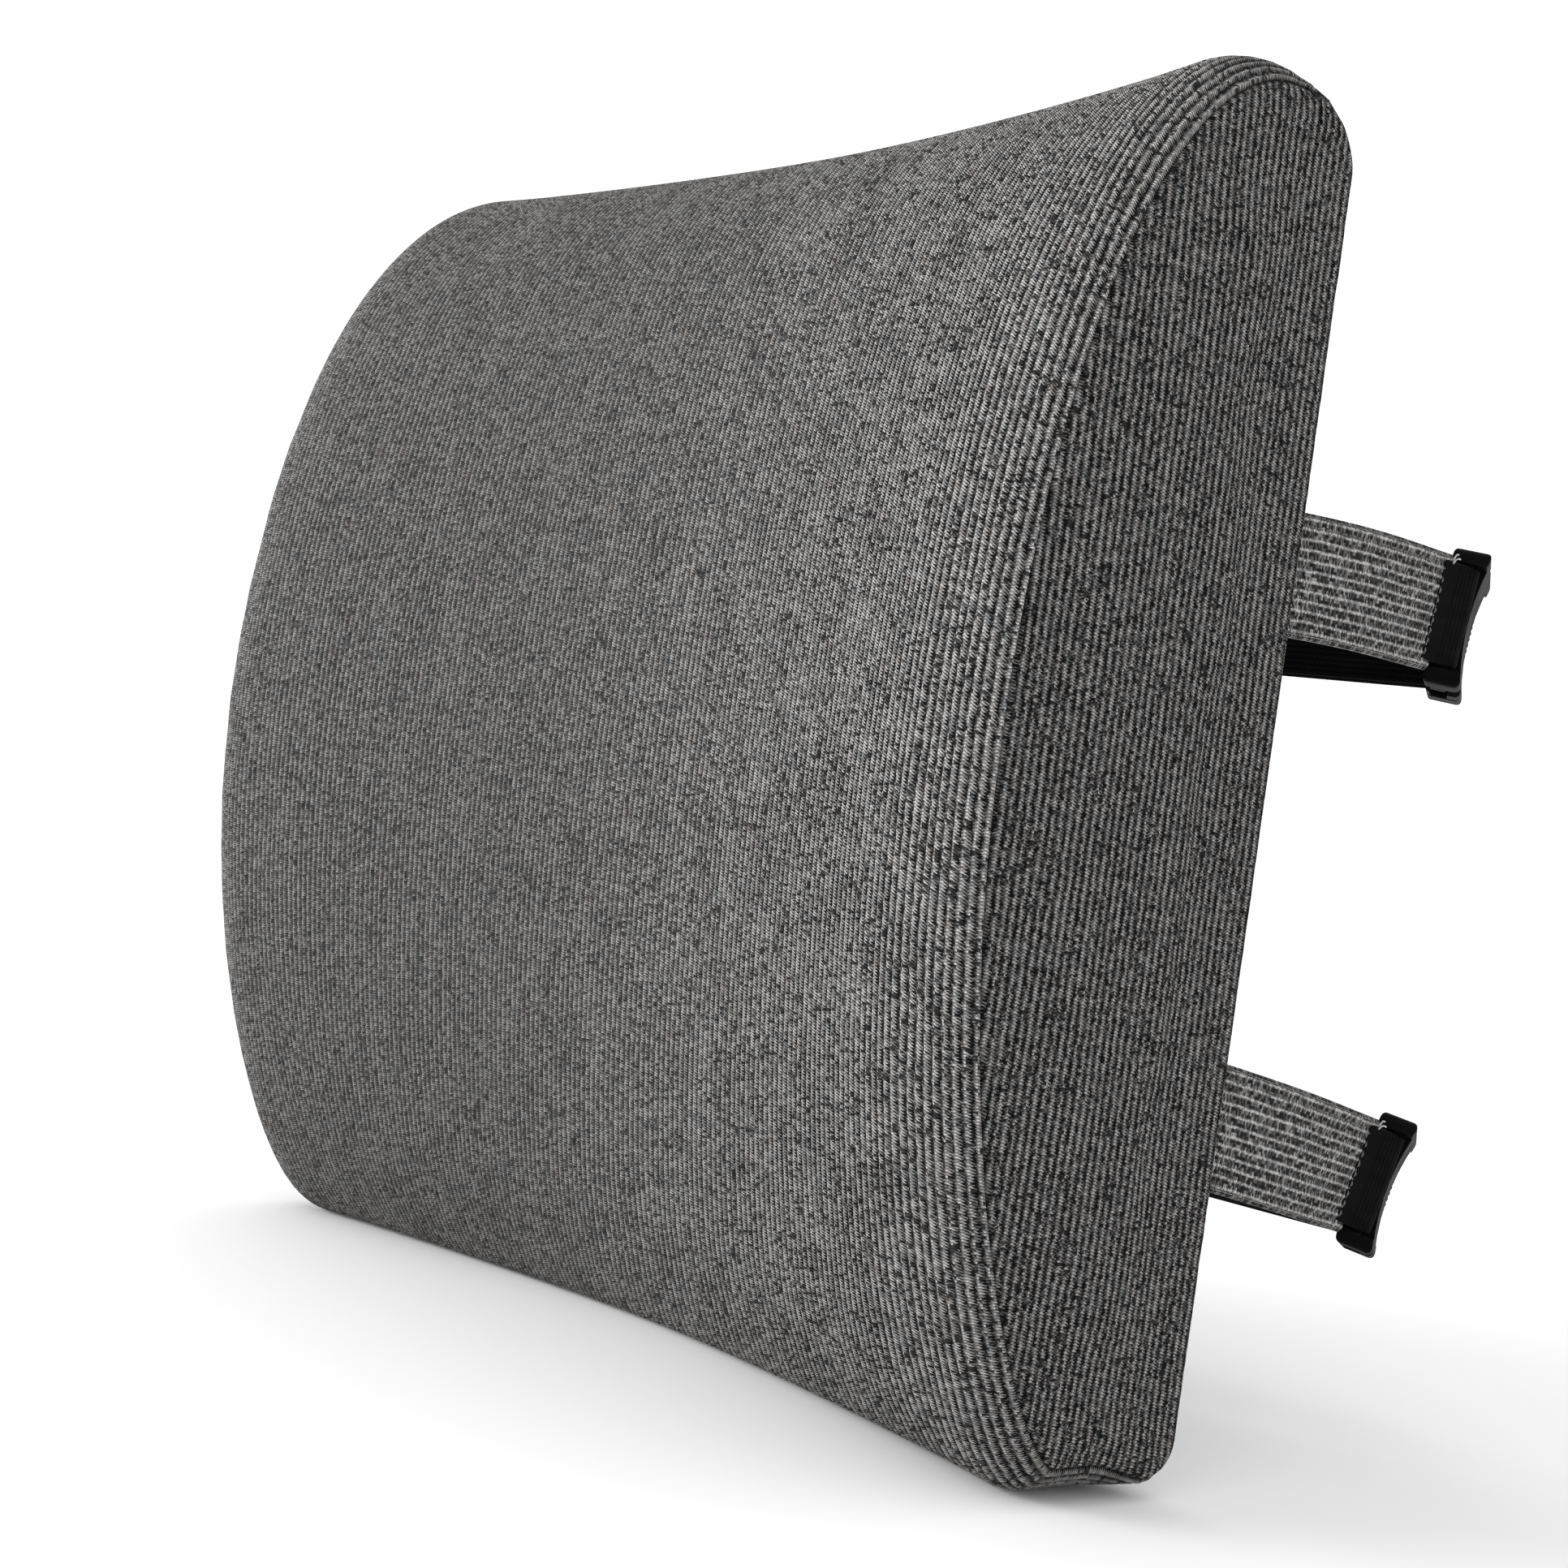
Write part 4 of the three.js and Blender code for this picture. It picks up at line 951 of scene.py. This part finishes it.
def stitches(name, path, normal, material, length=2.3, pitch=3.0, radius=0.27, lift=0.10):
    """A row of sewn stitches along a path of points; each dips into the cloth at both ends. normal is the way
    out of the cloth, one for all points or one for each."""
    way = travelled(path)
    starts = np.arange(0.5, way[-1] - length, pitch)
    t = np.linspace(0, 1, 7)
    at = starts[:, None] + t[None, :] * length
    centre = read_off(at, way, path)
    up = read_off(at, way, np.broadcast_to(normal, path.shape))
    rise = lift + radius * 0.6 - 0.9 * np.abs(2 * t - 1) ** 3
    centre = centre + up * rise[None, :, None]
    across = np.cross(unit(centre[:, -1] - centre[:, 0]), up[:, 3])
    angle = circle(6)
    cos, sin = np.cos(angle)[:, None], np.sin(angle)[:, None]
    ring = across[:, None, None, :] * cos + up[:, :, None, :] * sin
    slim = (radius * (1 - 0.45 * np.abs(2 * t - 1) ** 4))[None, :, None, None]
    points = centre[:, :, None, :] + ring * slim
    weave = np.zeros(points.shape)
    weave[..., 0] = np.arange(6) / 6
    weave[..., 1] = at[:, :, None]
    one = grid_faces(7, 6, wrap=True)
    faces = np.concatenate([one + k * 7 * 6 for k in range(len(starts))])
    return make_object(name, points, faces, material, weave)


def topstitch_line(middle, up, from_top, from_end):
    """On a band's outer face: along below its top edge, then down beside its end. Also the way out of the
    face."""
    face = unit(-np.cross(up, np.gradient(middle, axis=0)))
    surface = middle + face * (BAND_THICKNESS / 2 + 0.04)
    way = travelled(middle)
    rise, turn_at = BAND_WIDTH / 2 - from_top, way[-1] - from_end
    bend, turn = 5.0, np.linspace(0.1, math.pi / 2, 10)
    bent = turn_at - bend * (1 - np.sin(turn))
    at = np.concatenate([np.linspace(3, turn_at - bend, 60), bent, np.full(40, turn_at)])
    down = np.linspace(rise - bend, -BAND_WIDTH / 2 + 1.5, 41)[1:]
    high = np.concatenate([np.full(60, rise), rise - bend * (1 - np.cos(turn)), down])
    line = read_off(at, way, surface) + read_off(at, way, up) * high[:, None]
    return line, read_off(at, way, face)


def tube(path, radius, sides=6):
    """A thin round thread along a path of points."""
    along = unit(np.gradient(path, axis=0))
    side = unit(np.cross(along, (0.3, 0.2, 1.0)))
    other = np.cross(along, side)
    angle = circle(sides)
    ring = side[:, None] * np.cos(angle)[:, None] + other[:, None] * np.sin(angle)[:, None]
    points = path[:, None] + ring * radius
    weave = np.zeros(points.shape)
    weave[..., 0] = np.arange(sides) / sides
    weave[..., 1] = travelled(path)[:, None]
    return points.reshape(-1, 3), closed_faces(len(path), sides), weave.reshape(-1, 3)


def thread_end(name, middle, up, height, droop):
    """The loose ends of pale thread where the band's stitching stops at its upper corner."""
    corner = middle[-1] + up[-1] * (BAND_WIDTH / 2 - 1.5) + (1.45, -0.5, 0)
    t = np.linspace(0, 1, 9)[:, None]
    points, faces, weaves, count = [], [], [], 0
    for shift, tip in (((0, 0, 0), (1.6, -0.5, 1.1)), ((0.1, -0.2, -0.9), (2.4, -0.8, 0.8))):
        curl = np.sin(t * math.pi) * (0.2, -0.35, 0.5)
        path = corner + shift + t * tip + curl
        one, one_faces, one_weave = tube(strap_place(path, height, droop), 0.2)
        faces += [[v + count for v in face] for face in one_faces]
        count += len(one)
        points.append(one)
        weaves.append(one_weave)
    return make_object(name, np.concatenate(points), faces, white_thread, np.concatenate(weaves))


def zip_teeth(name, side):
    """One row of coil teeth: each is a narrow loop with a broader head at the zip's middle."""
    wire = 0.42
    stations = [(0.05, 0.22), (0.2, 0.5), (0.55, 0.62), (0.9, 0.46), (1.5, wire), (2.2, wire)]
    angle = circle(8)
    ring = np.stack([np.cos(angle), np.sin(angle)], 1)
    ring = np.sign(ring) * np.abs(ring) ** 0.7
    tooth = [
        [(x * half, 0.45 + y * 0.62 * min(1, half / wire), side * reach) for x, y in ring]
        for reach, half in stations
    ]
    starts = np.arange(-TEETH_END + (TOOTH_PITCH / 2 if side > 0 else 0), TEETH_END + 0.1, TOOTH_PITCH)
    points = np.array(tooth) + np.stack([starts, 0 * starts, 0 * starts], 1)[:, None, None, :]
    points[..., 2] += ZIP_HEIGHT
    one = closed_faces(len(stations), 8)[:-1]
    size = len(stations) * 8
    faces = [[v + k * size for v in f] for k in range(len(starts)) for f in one]
    obj = make_object(f"zip_coil_{name}", points, faces, zip_nylon)
    return stand_for(obj, f"zip_teeth_{name}")


def tape(name, side):
    """The woven tape that a row of teeth is sewn to, with its cord along the inner edge."""
    x = np.linspace(-HALF_WIDTH + 2, HALF_WIDTH - 2, 320)
    z = np.array([0.75, 0.9, 1.3, 1.8, 2.3, 2.6, 3.2, 4.2, 5.4, 6.6, 7.8])
    y = np.array([-1.1, -0.6, -0.35, -0.3, -0.35, -0.6, -0.72, -0.75, -0.8, -0.9, -1.2])
    xs, zs = np.meshgrid(x, z)
    grid = np.stack([xs, np.repeat(y[:, None], len(x), 1), ZIP_HEIGHT + side * zs], -1)
    weave = np.stack([zs, xs, 3 + 0 * xs], -1)
    faces = grid_faces(len(z), len(x))
    faces = faces if side < 0 else faces[:, ::-1]
    obj = make_object(f"zip_cloth_{name}", grid, faces, zip_tape, weave)
    return stand_for(obj, f"zip_tape_{name}")


def dress(node, material):
    """Gives a CAD node its finish."""
    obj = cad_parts[node]
    obj.data.materials.clear()
    obj.data.materials.append(material)


# ---------------- build

fold = ZIP_OPENING - FOLD_OVERHANG
for piece in (
    cover_front(),
    cover_side("left", -1),
    cover_side("right", 1),
    cover_back("upper", ZIP_HEIGHT + fold, HEIGHT - TOP_CORNER_HEIGHT - 0.3, ZIP_HEIGHT + fold),
    cover_back("lower", EDGE_RADIUS + 0.3, ZIP_HEIGHT - fold, ZIP_HEIGHT - fold),
    foam_block(),
    zip_teeth("upper", 1),
    zip_teeth("lower", -1),
    tape("upper", 1),
    tape("lower", -1),
):
    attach(piece, "cushion")

for name, side in (("upper", 1), ("lower", -1)):
    x = np.linspace(-STITCHED_END, STITCHED_END, 200)
    line = np.stack([x, 0.12 + 0 * x, ZIP_HEIGHT + side * (ZIP_OPENING + STITCH_SETBACK) + 0 * x], 1)
    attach(stitches(f"zip_stitching_{name}", line, (0, 1, 0), cover_thread), "cushion")

for node in ("zip_slider", "zip_pull_tab", "zip_stop_left", "zip_stop_right"):
    dress(node, zip_metal)

for strap, (height, droop) in STRAPS.items():
    middle, up = band_stations(droop)
    grid, weave = strip(middle, up, BAND_THICKNESS, BAND_WIDTH, rib=BAND_WALE, relief=0.15, spacing=0.9)
    band = closed_strip(f"{strap}_band", strap_place(grid, height, droop), weave, knit_band)
    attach(stand_for(band, f"{strap}_knit_band"), "cushion")
    line, out = topstitch_line(middle, up, 3.2, 3.4)
    ends = strap_place(np.stack([line, line + out]), height, droop)
    sewn = (ends[0], ends[1] - ends[0], cover_thread)
    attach(stitches(f"{strap}_topstitch", *sewn, length=1.9, pitch=2.5, radius=0.24), "cushion")
    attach(thread_end(f"{strap}_thread_end", middle, up, height, droop), "cushion")

    middle, up = loop_stations()
    grid, weave = strip(middle, up, LOOP_THICKNESS, STRAP_WIDTH, cross=LOOP_PITCH, relief=0.12, spacing=0.19)
    loop = closed_strip(f"{strap}_loop", strap_place(grid, height, droop), weave, webbing)
    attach(stand_for(loop, f"{strap}_webbing_loop"), "cushion")

    middle, up, start, run = elastic_stations(droop)
    grid, weave = strip(middle, up, ELASTIC_THICKNESS, STRAP_WIDTH, ELASTIC_PITCH, relief=0.10, spacing=2.0)
    strap_piece = closed_strip(f"{strap}_elastic", strap_place(grid, height, droop), weave, elastic)
    stand_for(strap_piece, f"{strap}_elastic_strap")
    bend = np.array([start + run * BEND_END, start + run * BEND_START])
    still, moving = place(strap_place(bend, height, droop))
    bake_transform(strap_piece)

    for part in ("buckle_socket", "buckle_clip", "clip_arm_top", "clip_arm_bottom", "strap_adjuster"):
        dress(f"{strap}_{part}", buckle_plastic)


# ---------------- stage, light and camera

def make_key_light():
    place_at, target = Vector((-0.75, -1.35, 0.40)), Vector((0, 0, 0.14))
    data = bpy.data.lights.new("key", "AREA")
    data.shape = "SQUARE"
    data.size = 0.9
    data.energy = 30.0
    light = add_to_scene("key", data)
    light.location = place_at
    light.rotation_euler = (target - place_at).to_track_quat("-Z", "Y").to_euler()


def make_floor():
    s = Shader("floor_paper")
    cloud = s.noise(s.position(), 3.0, 3.0)
    paper = s.mix(cloud, (0.845, 0.845, 0.845), (0.86, 0.86, 0.86))
    s.set(Base_Color=paper, Roughness=0.9, Specular_IOR_Level=0.1)
    radius, sides, below = 12.0, 64, 0.0006
    points = [(radius * math.cos(a), radius * math.sin(a), -below) for a in circle(sides)]
    mesh = bpy.data.meshes.new("floor")
    mesh.from_pydata(points, [], [list(range(sides))])
    mesh.materials.append(s.material)
    add_to_scene("floor", mesh)


def make_world():
    world = bpy.data.worlds.new("studio")
    world.use_nodes = True
    background = world.node_tree.nodes["Background"]
    background.inputs["Color"].default_value = (1.0, 1.0, 1.0, 1.0)
    background.inputs["Strength"].default_value = 1.2
    bpy.context.scene.world = world


def make_camera():
    azimuth, elevation, distance = math.radians(47.76), math.radians(-1.81), 0.6335
    target = Vector((-0.0029, SETBACK * MM, 0.1498))
    level_part = math.cos(elevation)
    back = Vector((math.sin(azimuth) * level_part, -math.cos(azimuth) * level_part, math.sin(elevation)))
    data = bpy.data.cameras.new("camera")
    data.sensor_width = 36
    data.lens = 51.97
    data.clip_start, data.clip_end = 0.01, 60
    camera = add_to_scene("camera", data)
    camera.location = target + back * distance
    camera.rotation_mode = "QUATERNION"
    level = (-back).to_track_quat("-Z", "Y")
    camera.rotation_quaternion = level @ Quaternion((0, 0, 1), math.radians(8.39))
    bpy.context.scene.camera = camera


make_floor()
make_world()
make_camera()
make_key_light()
bpy.context.scene.view_settings.view_transform = "Standard"
